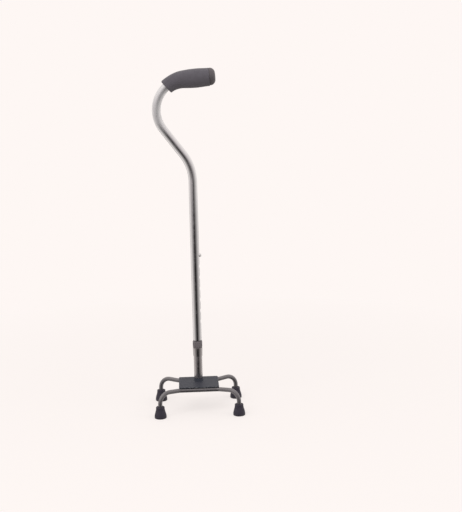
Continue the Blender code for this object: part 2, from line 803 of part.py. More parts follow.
def make_grip():
    """The foam sleeve follows the tube round the end of its bend."""
    path = handle_path()
    end = lengths_along(path)[-1]
    start = end - GRIP_LENGTH
    near = [0.15 * GRIP_EDGE_ROUNDING, 0.5 * GRIP_EDGE_ROUNDING, GRIP_EDGE_ROUNDING]
    extra = [start + step for step in near] + [end - step for step in near]
    swell_steps = [start + GRIP_LENGTH * step / 12 for step in range(1, 12)]
    distances, points = stretch(path, start, end, extra + swell_steps)
    radii = [grip_radius(distance - start) for distance in distances]
    mesh = tube_mesh("foam_grip", points, radii, HANDLE_SIDES)
    grip = add_part("foam_grip", mesh, foam, handle)
    bore_path = handle_path(extra=CAP_THICKNESS)
    bore = tube_mesh("grip_bore", bore_path, HANDLE_RADIUS + FIT_GAP, HANDLE_SIDES)
    cut(grip, add_cutter("grip_bore", bore, handle))
    smooth(grip)


def make_grip_cap():
    """The domed plug in the tube's free end, as wide as the foam."""
    spigot = HANDLE_BORE - FIT_GAP
    edge = [
        (
            CAP_RADIUS - CAP_EDGE_RADIUS * (1 - math.sin(angle)),
            REST_GAP + CAP_THICKNESS - CAP_EDGE_RADIUS * (1 - math.cos(angle)),
        )
        for angle in (math.radians(22.5 * step) for step in range(5))
    ]
    profile = [
        (0.0, REST_GAP + CAP_THICKNESS + CAP_CROWN),
        *edge,
        (CAP_RADIUS, REST_GAP + GRIP_EDGE_ROUNDING / 2),
        (CAP_RADIUS - GRIP_EDGE_ROUNDING / 2, REST_GAP),
        (spigot, REST_GAP),
        (spigot, -CAP_SPIGOT_LENGTH),
        (0.0, -CAP_SPIGOT_LENGTH),
    ]
    end = handle_path()[-1]
    add_turned(
        "grip_end_cap",
        profile,
        cap_plastic,
        handle,
        location=end,
        rotation=(0, math.pi / 2 - GRIP_TILT, 0),
    )


clear_scene()
parts = add_collection("quad_cane")
cutters = add_collection("cutters")

base_paint = add_material("base_paint", (0.075, 0.08, 0.095), 0.4)
rod_finish = add_material("rod_finish", (0.2, 0.19, 0.185), 0.3, 1.0)
plating = add_material("plating", (0.5, 0.48, 0.48), 0.2, 1.0)
chrome = add_material("chrome", (0.78, 0.78, 0.79), 0.12, 1.0)
bare_steel = add_material("bare_steel", (0.55, 0.55, 0.56), 0.3, 1.0)
ring_plastic = add_material("ring_plastic", (0.16, 0.13, 0.13), 0.42)
nylon = add_material("nylon", (0.05, 0.05, 0.055), 0.5)
rubber = add_material("rubber", (0.028, 0.026, 0.032), 0.6)
foam = add_material("foam", (0.095, 0.09, 0.1), 0.85)
cap_plastic = add_material("cap_plastic", (0.09, 0.08, 0.085), 0.5)

base = add_empty("base", (0, 0, 0))
shaft_axis = add_empty("shaft_axis", (0, SHAFT_OFFSET, 0), base)
button_axis = add_empty("button_axis", (0, 0, BUTTON_HEIGHT), shaft_axis)
handle = add_empty("handle", (0, 0, HANDLE_BOTTOM), shaft_axis)

make_feet()
make_bows()
make_plate()
make_stem()
make_thrust_plug()
make_collet()
make_lock_ring()
make_inner_tube()
make_top_guide()
make_snap_button()
make_button_spring()
make_handle_tube()
make_liner()
make_grip()
make_grip_cap()
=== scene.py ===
"""The looks of the quad cane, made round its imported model.

Everything is in metres and in the model's own frame: the floor is at z = 0, +X is the way that the
grip points and +Y runs from the front feet to the rear feet.
"""

from bisect import bisect_left
from itertools import accumulate, pairwise
from math import asin, atan2, ceil, copysign, cos, pi, radians, sin, sqrt, tan

import bmesh
import bpy
from mathutils import Matrix, Vector, noise
from mathutils.geometry import interpolate_bezier


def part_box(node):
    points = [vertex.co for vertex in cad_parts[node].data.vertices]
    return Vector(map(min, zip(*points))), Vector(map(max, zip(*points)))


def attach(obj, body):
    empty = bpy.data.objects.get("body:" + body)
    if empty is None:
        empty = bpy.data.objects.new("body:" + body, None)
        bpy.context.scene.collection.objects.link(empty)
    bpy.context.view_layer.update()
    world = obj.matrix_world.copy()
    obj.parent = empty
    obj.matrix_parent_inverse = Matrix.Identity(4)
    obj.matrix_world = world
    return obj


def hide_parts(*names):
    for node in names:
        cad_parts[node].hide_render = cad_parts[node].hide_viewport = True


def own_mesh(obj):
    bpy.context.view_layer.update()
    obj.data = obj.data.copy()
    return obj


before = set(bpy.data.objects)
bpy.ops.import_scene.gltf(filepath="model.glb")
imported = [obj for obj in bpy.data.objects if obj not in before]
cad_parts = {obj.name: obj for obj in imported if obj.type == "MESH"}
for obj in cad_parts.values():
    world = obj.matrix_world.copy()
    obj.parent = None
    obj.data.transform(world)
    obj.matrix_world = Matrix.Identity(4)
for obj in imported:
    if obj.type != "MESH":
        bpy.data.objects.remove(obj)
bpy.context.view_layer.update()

Y_AXIS = Vector((0, 1, 0))
Z_AXIS = Vector((0, 0, 1))
FULL_TURN = 2 * pi
QUARTER_TURN = pi / 2

# How finely round shapes are drawn
ARC_STEP = radians(3.0)
CORNER_STEP = radians(15.0)
CAP_CORNER_STEP = CORNER_STEP / 2
RING_CORNER_STEP = CORNER_STEP / 3
PLATE_CORNER_STEP = radians(9)
STRIP_CORNER_STEP = radians(45)
TURN_STEPS = 96
TUBE_SIDES = 64
ROD_SIDES = 32
FLUTE_STEPS = 18
BUTTON_STEPS = 48
DOME_STEPS = 12
WELD_STEPS = 8
RIPPLE_STEPS = 6
ROD_WELD_STEPS = 40
ROD_WELD_SIDES = 16
GRIP_STEPS = 36
BELL_STEPS = 24
FOOT_STEPS = 72
SHARP_ANGLE = radians(32)
SAME_PLACE = 0.000001  # points this close to each other, or to the axis, are one

# Roundings that several pieces share
HAIR_ROUNDING = 0.0001
FINE_ROUNDING = 0.0002
SMALL_ROUNDING = 0.0003
EASY_ROUNDING = 0.0004

# Clearances and walls, as the model has them
REST_GAP = 0.0003
FIT_GAP = 0.00015
RUNNING_GAP = 0.0003
INNER_RADIUS = 0.0075
INNER_WALL = 0.0012
HANDLE_RADIUS = 0.0095
HANDLE_WALL = 0.0012
HANDLE_RIM_ROUNDING = 0.00025
RIM_ANGLE = radians(50)
LINER_RADIUS = HANDLE_RADIUS - HANDLE_WALL - FIT_GAP
LINER_WALL = 0.0005
LINER_FLANGE = 0.001
LINER_LENGTH = 0.020
STEM_RADIUS = 0.0095
STEM_WALL = 0.0017
ROD_RADIUS = 0.00475

# The handle's line, from the tube's lower end
NECK_CORNER_RISE = 0.3964
NECK_LEAN = radians(37.0)
NECK_LOWER_RADIUS = 0.098
NECK_UPPER_RADIUS = 0.0673
GRIP_LINE_RISE = 0.587
GRIP_TILT = radians(4.0)
HANDLE_END = 0.042
HOLE_PITCH = 0.0254
HEIGHT_STEPS = 6

# Foam grip and its end cap
GRIP_LENGTH = 0.099
GRIP_NECK_RADIUS = 0.0160
GRIP_PALM_RADIUS = 0.0202
GRIP_END_RADIUS = 0.0191
GRIP_SWELL_LENGTH = 0.070
GRIP_EDGE_ROUNDING = 0.0028
GRIP_BORE_ROUNDING = 0.0005
SEAM_ROUNDING = 0.0007  # where foam and end cap meet
GRIP_LUMP_SIZE = 0.014
GRIP_LUMP_HEIGHT = 0.0002
GRIP_UNDERSIDE = 0.0014  # how much thicker the foam is below than above
CAP_RADIUS = 0.01885
CAP_EDGE_RADIUS = 0.0112
CAP_TOP = 0.0134  # the height of the dome's middle
CAP_CROWN_RADIUS = 0.00754
CAP_CROWN_HEIGHT = 0.013265
CAP_CROWN_ROUNDING = 0.02
CAP_SIDE_HEIGHT = 0.01214
CAP_SPIGOT_LENGTH = 0.014
CAP_SPIGOT_ROUNDING = 0.001

# Collar
COLLET_SKIRT_LENGTH = 0.018
COLLET_SKIRT_WALL = 0.0006
COLLET_SHOULDER_WALL = 0.0011
COLLET_SHOULDER_ROUNDING = 0.004
COLLET_BORE = INNER_RADIUS + FIT_GAP
COLLET_FINGER_WALL = 0.0016
COLLET_SLOT_WIDTH = 0.0014
COLLET_CONE_HEIGHT = 0.0043
COLLET_CONE_DEPTH = 0.0008
RING_WALL = 0.0014
RING_BORE = COLLET_BORE + COLLET_FINGER_WALL + RUNNING_GAP
RING_RADIUS = RING_BORE + RING_WALL
RING_LIP = 0.0012
RING_FLUTES = 10
RING_FLUTE_RADIUS = 0.0024
RING_FLUTE_DEPTH = 0.0007
RING_TAPER_DEPTH = 0.0009
RING_TAPER_HEIGHT = 0.0025
RING_TAPER_ROUNDING = 0.004
RING_EDGE_ROUNDING = 0.0005
RING_BORE_CHAMFER = 0.0003
RING_LIP_CHAMFER = 0.0004

# Button and spring
BUTTON_RADIUS = 0.0039
BUTTON_HOLE_RADIUS = BUTTON_RADIUS + RUNNING_GAP
BUTTON_DOME_HEIGHT = 0.0024
RIVET_RADIUS = 0.0016
RIVET_HEAD_RADIUS = 0.0026
RIVET_HEAD_THICKNESS = 0.0009
SPRING_THICKNESS = 0.0007
SPRING_WIDTH = 0.007
SPRING_WALL_INSET = 0.0016
SPRING_FACE = INNER_RADIUS - INNER_WALL - SPRING_WALL_INSET  # from the shaft's axis
SPRING_LEG_TOP = 0.008  # above the button
SPRING_KNEE_DROP = 0.010  # below the button
SPRING_LENGTH = 0.046  # below the button
SPRING_KNEE_RADIUS = 0.008
SPRING_BEND_RADIUS = 0.002

# Base
FOOT_TOP_RADIUS = 0.0096
FOOT_COLLAR_HEIGHT = 0.004
FOOT_MOUTH_ROUNDING = 0.0006
FOOT_SKIRT_RADIUS = 0.0134
FOOT_SKIRT_HEIGHT = 0.0032
FOOT_FLARE_TOP = 0.017
FOOT_FLARE_BOTTOM = 0.0095
FOOT_EDGE_ROUNDING = 0.0013
FOOT_TREAD_WIDTH = 0.004
FOOT_TREAD_DEPTH = 0.0012
FOOT_TREAD_DRAFT = 0.0006
FOOT_SOLE = 0.008
FOOT_RIB_SPACING = 0.0032
FOOT_RIB_WIDTH = 0.0012
FOOT_RIB_CREST = 0.00072
FOOT_RIB_LIFT = 0.0003  # the ribs stay this far above the floor
WASHER_RADIUS = 0.0062
WASHER_THICKNESS = 0.0015
BOW_ARM_RISE = 0.0025
BOW_SPACING = 0.076
BOW_SPLAY_START = 0.044
BOW_SPLAY_RADIUS = 0.022
BOW_KNEE_RADIUS = 0.0235
PLATE_CORNER_RADIUS = 0.004
PLATE_EDGE_ROUNDING = 0.0006
PLUG_FLANGE_THICKNESS = 0.002
PLUG_SEAT_HEIGHT = 0.008
PLUG_SPIGOT_LENGTH = 0.010
PLUG_SPIGOT_WALL = 0.0022
PLUG_FOOT_ROUNDING = 0.0006

# Welds
WELD_WIDTH = 0.003
WELD_HEIGHT = 0.0044
WELD_RIPPLES = 30
WELD_RIPPLE_HEIGHT = 0.0002
WELD_WANDER = 2.5  # how fast the ripples change along the run
ROD_WELD_RADIUS = 0.0017
ROD_WELD_LEAST = 0.00005
ROD_WELD_LENGTH = 0.018
ROD_WELD_INSET = 0.004  # from the plate's side to the weld's end
ROD_WELD_ACROSS = ROD_RADIUS * 0.85  # from the rod's line to the weld's
ROD_WELD_DROP = ROD_RADIUS * 0.3  # below the plate
ROD_WELD_BLUNTNESS = 6
ROD_WELD_RIPPLING = 40

# The chrome is duller from the bend up, which sets in between these heights
CHROME_DULL_FROM = (0.615, 0.650)
CHROME_DULLNESS = 0.3  # added roughness
CHROME_DULL_METALLIC = 0.75
PLATE_GLOSS_TINT = (0.84, 0.88, 1.0, 1.0)
NOISE_SPREAD = (0.3, 0.7)  # where most of a noise's values lie

# Photograph's camera. Angles are in radians
CAMERA_PLACE = Vector((-0.0271, -2.1210, 0.7179))
CAMERA_YAW = 0.0505
CAMERA_PITCH = 0.172
CAMERA_ROLL = -0.0225
CAMERA_FOCAL = 965.4 / 512  # in image heights

# Floor and lamps
BACKDROP_COLOUR = (0.991, 0.930, 0.905)
FLOOR_COLOUR = (0.94, 0.885, 0.862)
FLOOR_BOUNCE_COLOUR = (0.5, 0.48, 0.47)  # what it gives back to the cane
FLOOR_GLOW = 0.7  # the backdrop's share of the floor near the cane
FLOOR_FADE = (0.25, 1.2)  # where it fades into the backdrop
FLOOR_RADII = (0.0, 0.2, 0.5, 1.0, 2.0, 4.0, 8.0)
SOFTBOX_SIZE = 1.4
SOFTBOX_TARGET = Vector((0, 0, 0.4))
KEY_PLACE = Vector((-1.1, -1.3, 2.3))
KEY_POWER = 22
FILL_PLACE = Vector((1.6, -0.8, 1.6))
FILL_POWER = 8

# The studio that gloss shows. Sides are degrees from straight in front, round to the back, and
# rises are sines of the angle above level. Each pair says where a change starts and ends.
ROOM_LIGHT = (0.72, 0.71, 0.7)  # what everything but gloss is lit by
ROOM_TINT = (1.04, 0.935, 0.95)
ROOM_DARK = 0.025
ROOM_DARK_RIGHT = (16, 138)
ROOM_DARK_LEFT = (14, 118)
ROOM_HORIZON = (-0.05, -0.15)
ROOM_MIDDLE = (-0.25, 0.03)  # from its left half to its right half, as sines
ROOM_RIGHT_LOW = 0.12
ROOM_RIGHT_HIGH = 0.55
ROOM_RIGHT_RISE = (0.0, 0.45)
ROOM_RIGHT_SIDES = (5, 112)
ROOM_LEFT = 0.62
ROOM_LEFT_RISE = (0.22, 0.5)
ROOM_LEFT_SIDES = (70, 130)
ROOM_BACK = 0.08  # low down behind the cane
ROOM_BACK_SIDES = (128, 165)


def box_middle(node):
    low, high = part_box(node)
    return (low + high) / 2


def floor_point(node):
    """The point of the floor that a node's middle is above."""
    middle = box_middle(node)
    return Vector((middle.x, middle.y, 0))


# Places, from the model
SHAFT = floor_point("lock_ring")
HANDLE_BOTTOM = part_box("handle_tube")[0].z
BUTTON_MIDDLE = SHAFT + Z_AXIS * box_middle("snap_button").z
BUTTON_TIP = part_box("snap_button")[1].x
BUTTON_PLACE = Matrix.Translation(BUTTON_MIDDLE) @ Matrix.Rotation(QUARTER_TURN, 4, "Y")
RING_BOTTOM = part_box("lock_ring")[0].z
RING_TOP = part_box("lock_ring")[1].z
COLLET_TOP = RING_TOP - RING_LIP - REST_GAP
STEM_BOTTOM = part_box("stem_tube")[0].z
STEM_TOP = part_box("stem_tube")[1].z
PLATE_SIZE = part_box("base_plate")[1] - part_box("base_plate")[0]
PLATE_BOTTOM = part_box("base_plate")[0].z
PLATE_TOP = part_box("base_plate")[1].z
BOW_HEIGHT = PLATE_BOTTOM - REST_GAP - ROD_RADIUS
FOOT_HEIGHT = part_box("foot_tip_front_left")[1].z
ROD_END_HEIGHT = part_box("front_bow")[0].z


# Shapes


def spread(count):
    """This many angles, evenly round a circle."""
    return [FULL_TURN * number / count for number in range(count)]


def polar(angle, radius, height=0.0):
    return Vector((radius * cos(angle), radius * sin(angle), height))


def rounded(corners, radii, step, closed=False):
    """The corners, each rounded with its own radius where that is above nothing."""
    corners = [Vector(corner) for corner in corners]
    points = []
    for index, (corner, radius) in enumerate(zip(corners, radii)):
        is_end = not closed and index in (0, len(corners) - 1)
        if is_end or radius <= 0:
            points.append(corner)
            continue
        back = (corners[index - 1] - corner).normalized()
        ahead = (corners[(index + 1) % len(corners)] - corner).normalized()
        turn = pi - back.angle(ahead)
        centre = corner + (back + ahead).normalized() * radius / cos(turn / 2)
        start = corner + back * radius * tan(turn / 2) - centre
        steps = max(1, ceil(turn / step))
        for number in range(steps + 1):
            angle = turn * number / steps
            points.append(centre + start * cos(angle) - back * radius * sin(angle))
    return points


def rectangle(width, depth, rounding, step):
    """The outline of a rectangle round the origin, with rounded corners."""
    x = width / 2
    y = depth / 2
    return rounded([(x, y), (-x, y), (-x, -y), (x, -y)], [rounding] * 4, step, closed=True)


def lay_skin(shape, rings, loop=False):
    """Joins rings of points. One point alone is a pole, and a loop joins the last to the first."""
    rows = [[shape.verts.new(point) for point in ring] for ring in rings]
    for lower, upper in pairwise([*rows, rows[0]] if loop else rows):
        count = max(len(lower), len(upper))
        for index in range(count):
            after = (index + 1) % count
            corners = [
                lower[index % len(lower)],
                lower[after % len(lower)],
                upper[after % len(upper)],
                upper[index % len(upper)],
            ]
            shape.faces.new(dict.fromkeys(corners))
    return rows


def mesh_from(shape):
    bmesh.ops.recalc_face_normals(shape, faces=shape.faces)
    mesh = bpy.data.meshes.new("shape")
    shape.to_mesh(mesh)
    shape.free()
    return mesh


def skin(rings, loop=False):
    shape = bmesh.new()
    lay_skin(shape, rings, loop)
    return mesh_from(shape)


def turned(profile, place=None, steps=TURN_STEPS, loop=False, change=None, limit=None):
    """A shape turned round +Z from (radius, height) pairs, put on the shaft's axis or in a place.

    A third number in a profile point says how much of the change at each angle its radius takes.
    The limit is the most that a radius may be at each angle.
    """
    place = place or Matrix.Translation(SHAFT)
    rings = []
    for radius, height, *share in profile:
        if radius < SAME_PLACE:
            rings.append([place @ (Z_AXIS * height)])
            continue
        ring = []
        for angle in spread(steps):
            reach = radius
            if change:
                reach += change(angle) * share[0]
            if limit:
                reach = min(reach, limit(angle))
            ring.append(place @ polar(angle, reach, height))
        rings.append(ring)
    return skin(rings, loop)


def turned_loop(corners, radii):
    """A closed section with rounded corners, turned round the shaft's axis."""
    return turned(rounded(corners, radii, CORNER_STEP, closed=True), loop=True)


class Route:
    """A smooth path. It tells where it is and which way it runs at each distance from its start."""

    def __init__(self, corners, radii):
        self.points = rounded(corners, radii, ARC_STEP)
        steps = [second - first for first, second in pairwise(self.points)]
        self.lengths = list(accumulate((step.length for step in steps), initial=0.0))
        self.length = self.lengths[-1]
        runs = [step.normalized() for step in steps]
        turns = [(before + after).normalized() for before, after in pairwise(runs)]
        self.runs = [runs[0], *turns, runs[-1]]

    def at(self, distance):
        index = bisect_left(self.lengths, distance, 1, len(self.lengths) - 1) - 1
        span = self.lengths[index + 1] - self.lengths[index]
        share = (distance - self.lengths[index]) / span
        centre = self.points[index].lerp(self.points[index + 1], share)
        return centre, self.runs[index].lerp(self.runs[index + 1], share).normalized()


def swept_rings(route, stations, sides):
    """Rings round a route at (distance, radius) stations, with no twist from one to the next."""
    side = Y_AXIS
    rings = []
    for distance, radius in stations:
        centre, run = route.at(distance)
        side = (side - run * side.dot(run)).normalized()
        across = side.cross(run)
        ring = []
        for angle in spread(sides):
            ring.append(centre + (across * cos(angle) + side * sin(angle)) * radius)
        rings.append(ring)
    return rings


def new_object(name, data):
    made = bpy.data.objects.new(name, data)
    bpy.context.scene.collection.objects.link(made)
    return made


def add_piece(name, mesh, material, body, slot, *nodes):
    """Shows the mesh as one piece of the cane, in place of the model's own nodes."""
    mesh.name = name
    mesh.materials.append(material)
    mesh.shade_smooth()
    mesh.set_sharp_from_angle(angle=SHARP_ANGLE)
    piece = new_object(name, mesh)
    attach(piece, body)
    if nodes:
        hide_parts(*nodes)
    return piece


def evaluated_mesh(obj):
    bpy.context.view_layer.update()
    graph = bpy.context.evaluated_depsgraph_get()
    return bpy.data.meshes.new_from_object(obj.evaluated_get(graph))


def carved(mesh, cutter_mesh):
    """The mesh with the cutter's shape taken out of it."""
    body = new_object("body", mesh)
    cutter = new_object("cutter", cutter_mesh)
    body.modifiers.new("carving", "BOOLEAN").object = cutter
    result = evaluated_mesh(body)
    for obj in (body, cutter):
        bpy.data.objects.remove(obj)
    return result


# Materials


class Nodes:
    """Short ways to build a node tree. A value is a number, a colour or another node's output."""

    def __init__(self, tree):
        self.tree = tree

    def feed(self, socket, value):
        if isinstance(value, bpy.types.NodeSocket):
            self.tree.links.new(value, socket)
        else:
            socket.default_value = value

    def put(self, node, **inputs):
        """Feeds a node's inputs by name. An underscore in a name stands for a space."""
        for name, value in inputs.items():
            self.feed(node.inputs[name.replace("_", " ")], value)
        return node

    def node(self, kind, **inputs):
        return self.put(self.tree.nodes.new(kind), **inputs)

    def math(self, operation, first, second=0.0):
        node = self.node("ShaderNodeMath")
        node.operation = operation
        self.feed(node.inputs[0], first)
        self.feed(node.inputs[1], second)
        return node.outputs["Value"]

    def mapped(self, value, source, target=(0.0, 1.0), smooth=False):
        """Goes from end to end of the target as value does over the source, and stays in it."""
        ramp = self.node("ShaderNodeMapRange", Value=value, From_Min=source[0], From_Max=source[1])
        self.put(ramp, To_Min=target[0], To_Max=target[1])
        if smooth:
            ramp.interpolation_type = "SMOOTHSTEP"
        return ramp.outputs["Result"]

    def mixed(self, factor, first, second):
        """Two colours mixed by a factor."""
        mix = self.node("ShaderNodeMix")
        mix.data_type = "RGBA"
        self.feed(mix.inputs[0], factor)
        for socket, colour in ((mix.inputs[6], first), (mix.inputs[7], second)):
            self.feed(socket, (*colour, 1) if isinstance(colour, tuple) else colour)
        return mix.outputs[2]


class Surface(Nodes):
    """A material with one Principled shader, and short ways to add procedural detail to it."""

    def __init__(self, name, **constants):
        self.material = bpy.data.materials.new(name)
        self.material.use_nodes = True
        super().__init__(self.material.node_tree)
        self.shader = self.tree.nodes["Principled BSDF"]
        self.shade(**constants)
        self.place = self.node("ShaderNodeTexCoord").outputs["Object"]

    def shade(self, **inputs):
        self.put(self.shader, **inputs)

    def shaded(self, name):
        """What an input of the shader is fed with so far."""
        return self.shader.inputs[name].links[0].from_socket

    def coordinate(self, axis):
        return self.node("ShaderNodeSeparateXYZ", Vector=self.place).outputs[axis]

    def grain(self, size, detail=3.0, stretch=(1, 1, 1)):
        """Noise from 0 to 1 whose features are about this many metres wide."""
        place = self.node("ShaderNodeMapping", Vector=self.place, Scale=stretch).outputs["Vector"]
        texture = self.node("ShaderNodeTexNoise", Vector=place, Scale=1 / size, Detail=detail)
        return texture.outputs["Fac"]

    def cells(self, size):
        """The distance from the middles of random cells of about this size."""
        texture = self.node("ShaderNodeTexVoronoi", Vector=self.place, Scale=1 / size)
        return texture.outputs["Distance"]

    def cloud(self, size, detail, first, second, roughness):
        """Clouds of this size, in which the colour and the roughness go from end to end."""
        clouds = self.grain(size, detail)
        self.shade(Base_Color=self.mixed(clouds, first, second))
        self.shade(Roughness=self.mapped(clouds, NOISE_SPREAD, roughness))
        return clouds

    def cover(self, share, colour):
        """Mixes another colour over the surface's own."""
        self.shade(Base_Color=self.mixed(share, self.shaded("Base Color"), colour))

    def dust(self, size):
        """Rougher specks at the middles of random cells of this size."""
        specks = self.mapped(self.cells(size), (0.05, 0.16), (0.08, 0.0))
        self.shade(Roughness=self.math("ADD", self.shaded("Roughness"), specks))

    def emboss(self, height, depth):
        """Adds a bump this many metres deep, over any bump that is there."""
        bump = self.node("ShaderNodeBump", Height=height, Distance=depth)
        if self.shader.inputs["Normal"].is_linked:
            self.put(bump, Normal=self.shaded("Normal"))
        self.shade(Normal=bump.outputs["Normal"])


def make_chrome():
    """Plated and polished tube, with faint drawing lines and finger marks."""
    surface = Surface("chrome")
    smudges = surface.grain(0.013, detail=5.0)
    lines = surface.grain(0.0012, stretch=(1, 1, 0.05))
    surface.shade(Base_Color=surface.mixed(smudges, (0.80, 0.80, 0.81), (0.75, 0.75, 0.755)))
    bend = surface.mapped(surface.coordinate("Z"), CHROME_DULL_FROM)
    surface.shade(Metallic=surface.mapped(bend, (0.0, 1.0), (1.0, CHROME_DULL_METALLIC)))
    marks = surface.mapped(smudges, (0.42, 0.68), (0.09, 0.2))
    marks = surface.math("ADD", marks, surface.math("MULTIPLY", bend, CHROME_DULLNESS))
    scratches = surface.mapped(lines, NOISE_SPREAD, (-0.015, 0.025))
    surface.shade(Roughness=surface.math("ADD", marks, scratches))
    surface.emboss(surface.grain(0.0045), 0.00002)
    surface.emboss(lines, 0.000004)
    return surface.material


def make_bare_steel():
    """Zinc-bright steel, brushed along its length."""
    surface = Surface("bare_steel", Metallic=1.0)
    lines = surface.grain(0.0006, stretch=(1, 1, 0.03))
    clouds = surface.grain(0.009, detail=4.0)
    surface.shade(Base_Color=surface.mixed(clouds, (0.58, 0.58, 0.59), (0.5, 0.5, 0.505)))
    both = surface.math("ADD", lines, clouds)
    surface.shade(Roughness=surface.mapped(both, (0.7, 1.3), (0.22, 0.38)))
    surface.emboss(lines, 0.00001)
    return surface.material


def make_button_steel():
    """Nickel-bright button, dulled by thumbs."""
    surface = Surface("button_steel", Metallic=0.6)
    surface.cloud(0.002, 4.0, (0.92, 0.91, 0.9), (0.8, 0.79, 0.78), roughness=(0.4, 0.6))
    surface.emboss(surface.grain(0.0004, detail=2.0), 0.00001)
    return surface.material


def make_rod_finish():
    """Dark metallic gloss of the two bent rods."""
    surface = Surface("rod_finish", Metallic=0.8)
    surface.cloud(0.014, 5.0, (0.265, 0.256, 0.265), (0.2, 0.194, 0.2), roughness=(0.24, 0.38))
    surface.dust(0.0014)
    surface.emboss(surface.grain(0.0024, detail=2.0), 0.00003)
    return surface.material


def make_plating():
    """Smoky plating of the stem and the collet, duller than the handle's."""
    surface = Surface("plating", Metallic=1.0)
    surface.cloud(0.012, 5.0, (0.52, 0.5, 0.5), (0.42, 0.4, 0.4), roughness=(0.16, 0.3))
    surface.dust(0.0016)
    surface.emboss(surface.grain(0.0024, detail=2.0), 0.00003)
    return surface.material


def make_plate_paint():
    """Slate finish of the plate, a little worn along its edges."""
    surface = Surface("plate_paint", Specular_IOR_Level=0.17, Specular_Tint=PLATE_GLOSS_TINT)
    half = PLATE_SIZE / 2
    across = surface.math("DIVIDE", surface.math("ABSOLUTE", surface.coordinate("X")), half.x)
    along = surface.math("DIVIDE", surface.math("ABSOLUTE", surface.coordinate("Y")), half.y)
    edge = surface.mapped(surface.math("MAXIMUM", across, along), (0.965, 1.0))
    chips = surface.mapped(surface.grain(0.0028, detail=5.0), (0.5, 0.62))
    wear = surface.math("MULTIPLY", edge, chips)
    clouds = surface.grain(0.025, detail=4.0)
    slate = surface.mixed(clouds, (0.04, 0.043, 0.057), (0.031, 0.0335, 0.044))
    surface.shade(Base_Color=surface.mixed(wear, slate, (0.14, 0.145, 0.15)))
    scuffs = surface.grain(0.004, detail=6.0, stretch=(0.2, 1, 1))
    surface.shade(Roughness=surface.mapped(scuffs, (0.35, 0.7), (0.46, 0.55)))
    surface.emboss(surface.grain(0.0018, detail=2.0), 0.00004)
    surface.emboss(wear, -0.00005)
    return surface.material


def make_ring_plastic():
    """Moulded plastic of the lock ring."""
    surface = Surface("ring_plastic")
    surface.cloud(0.0035, 5.0, (0.206, 0.184, 0.194), (0.126, 0.108, 0.115), roughness=(0.32, 0.5))
    surface.emboss(surface.grain(0.0005), 0.00003)
    return surface.material


def make_nylon():
    """Black nylon of the bushes and plugs."""
    surface = Surface("nylon")
    surface.cloud(0.006, 4.0, (0.056, 0.056, 0.061), (0.04, 0.04, 0.044), roughness=(0.36, 0.54))
    surface.emboss(surface.grain(0.0006), 0.00002)
    return surface.material


def make_rubber():
    """Black rubber of the tips, dusty where they meet the floor."""
    surface = Surface("rubber")
    black = (0.04, 0.034, 0.052)
    clouds = surface.cloud(0.005, 5.0, black, (0.027, 0.023, 0.036), roughness=(0.5, 0.75))
    low = surface.mapped(surface.coordinate("Z"), (0.0, 0.006), (1.0, 0.0))
    patches = surface.mapped(clouds, (0.45, 0.65), (0.0, 0.7))
    surface.cover(surface.math("MULTIPLY", low, patches), (0.1, 0.095, 0.09))
    surface.emboss(surface.grain(0.0004), 0.00004)
    surface.emboss(surface.grain(0.003, detail=2.0), 0.00008)
    return surface.material


def make_foam():
    """Closed-cell foam: fine open pores, darkened in their middles with painted shade, over a soft,
    slightly uneven skin.
    """
    surface = Surface("foam", Sheen_Weight=0.15, Sheen_Roughness=0.6)
    surface.cloud(0.012, 4.0, (0.114, 0.103, 0.124), (0.096, 0.087, 0.1), roughness=(0.78, 0.92))
    cells = surface.cells(0.0007)
    # painted shade: the middles of the pores are darkened, standing in for the shade that falls
    # into them
    surface.cover(surface.mapped(cells, (0.1, 0.45), (0.45, 0.0)), (0.04, 0.038, 0.042))
    surface.emboss(cells, 0.00018)
    surface.emboss(surface.grain(0.002), 0.00015)
    return surface.material


def make_cap_plastic():
    """Matt moulded plastic of the grip's end cap."""
    surface = Surface("cap_plastic")
    surface.cloud(0.008, 4.0, (0.112, 0.097, 0.104), (0.088, 0.077, 0.083), roughness=(0.42, 0.58))
    surface.emboss(surface.grain(0.0005), 0.00004)
    return surface.material


# Tubes


def from_front(number):
    """A side's number round a tube, counted both ways from the side that faces +X."""
    return (number + TUBE_SIDES // 2) % TUBE_SIDES - TUBE_SIDES // 2


def tube_rows(route, holes, cell, reach):
    """The (distance, hole, step) of each ring of points, the step in cells from the hole."""
    rows = [
        (length, 0.0, reach + 1)  # past any hole
        for length in route.lengths
        if all(abs(length - hole) > (reach + 2) * cell for hole in holes)
    ]
    for hole in holes:
        for step in range(-reach - 1, reach + 2):
            rows.append((hole + step * cell, hole, step))
    return sorted(rows)


def tube_face(shape, route, rows, radius, reach):
    """One face of a tube's wall, a grid of rings of points with no cells inside its holes."""
    rings = []
    for distance, hole, step in rows:
        ring = []
        for number, angle in enumerate(spread(TUBE_SIDES)):
            along = distance
            if max(abs(step), abs(from_front(number))) == reach:
                way = atan2(step, from_front(number))
                angle = asin(BUTTON_HOLE_RADIUS * cos(way) / radius)
                along = hole + BUTTON_HOLE_RADIUS * sin(way)
            centre, run = route.at(along)
            outward = Y_AXIS.cross(run) * cos(angle) + Y_AXIS * sin(angle)
            ring.append(shape.verts.new(centre + outward * radius))
        rings.append(ring)
    for row, lower, upper in zip(rows, rings, rings[1:]):
        for number in range(TUBE_SIDES):
            after = (number + 1) % TUBE_SIDES
            if max(abs(row[2] + 0.5), abs(from_front(number) + 0.5)) > reach:
                shape.faces.new([lower[number], lower[after], upper[after], upper[number]])
    return rings


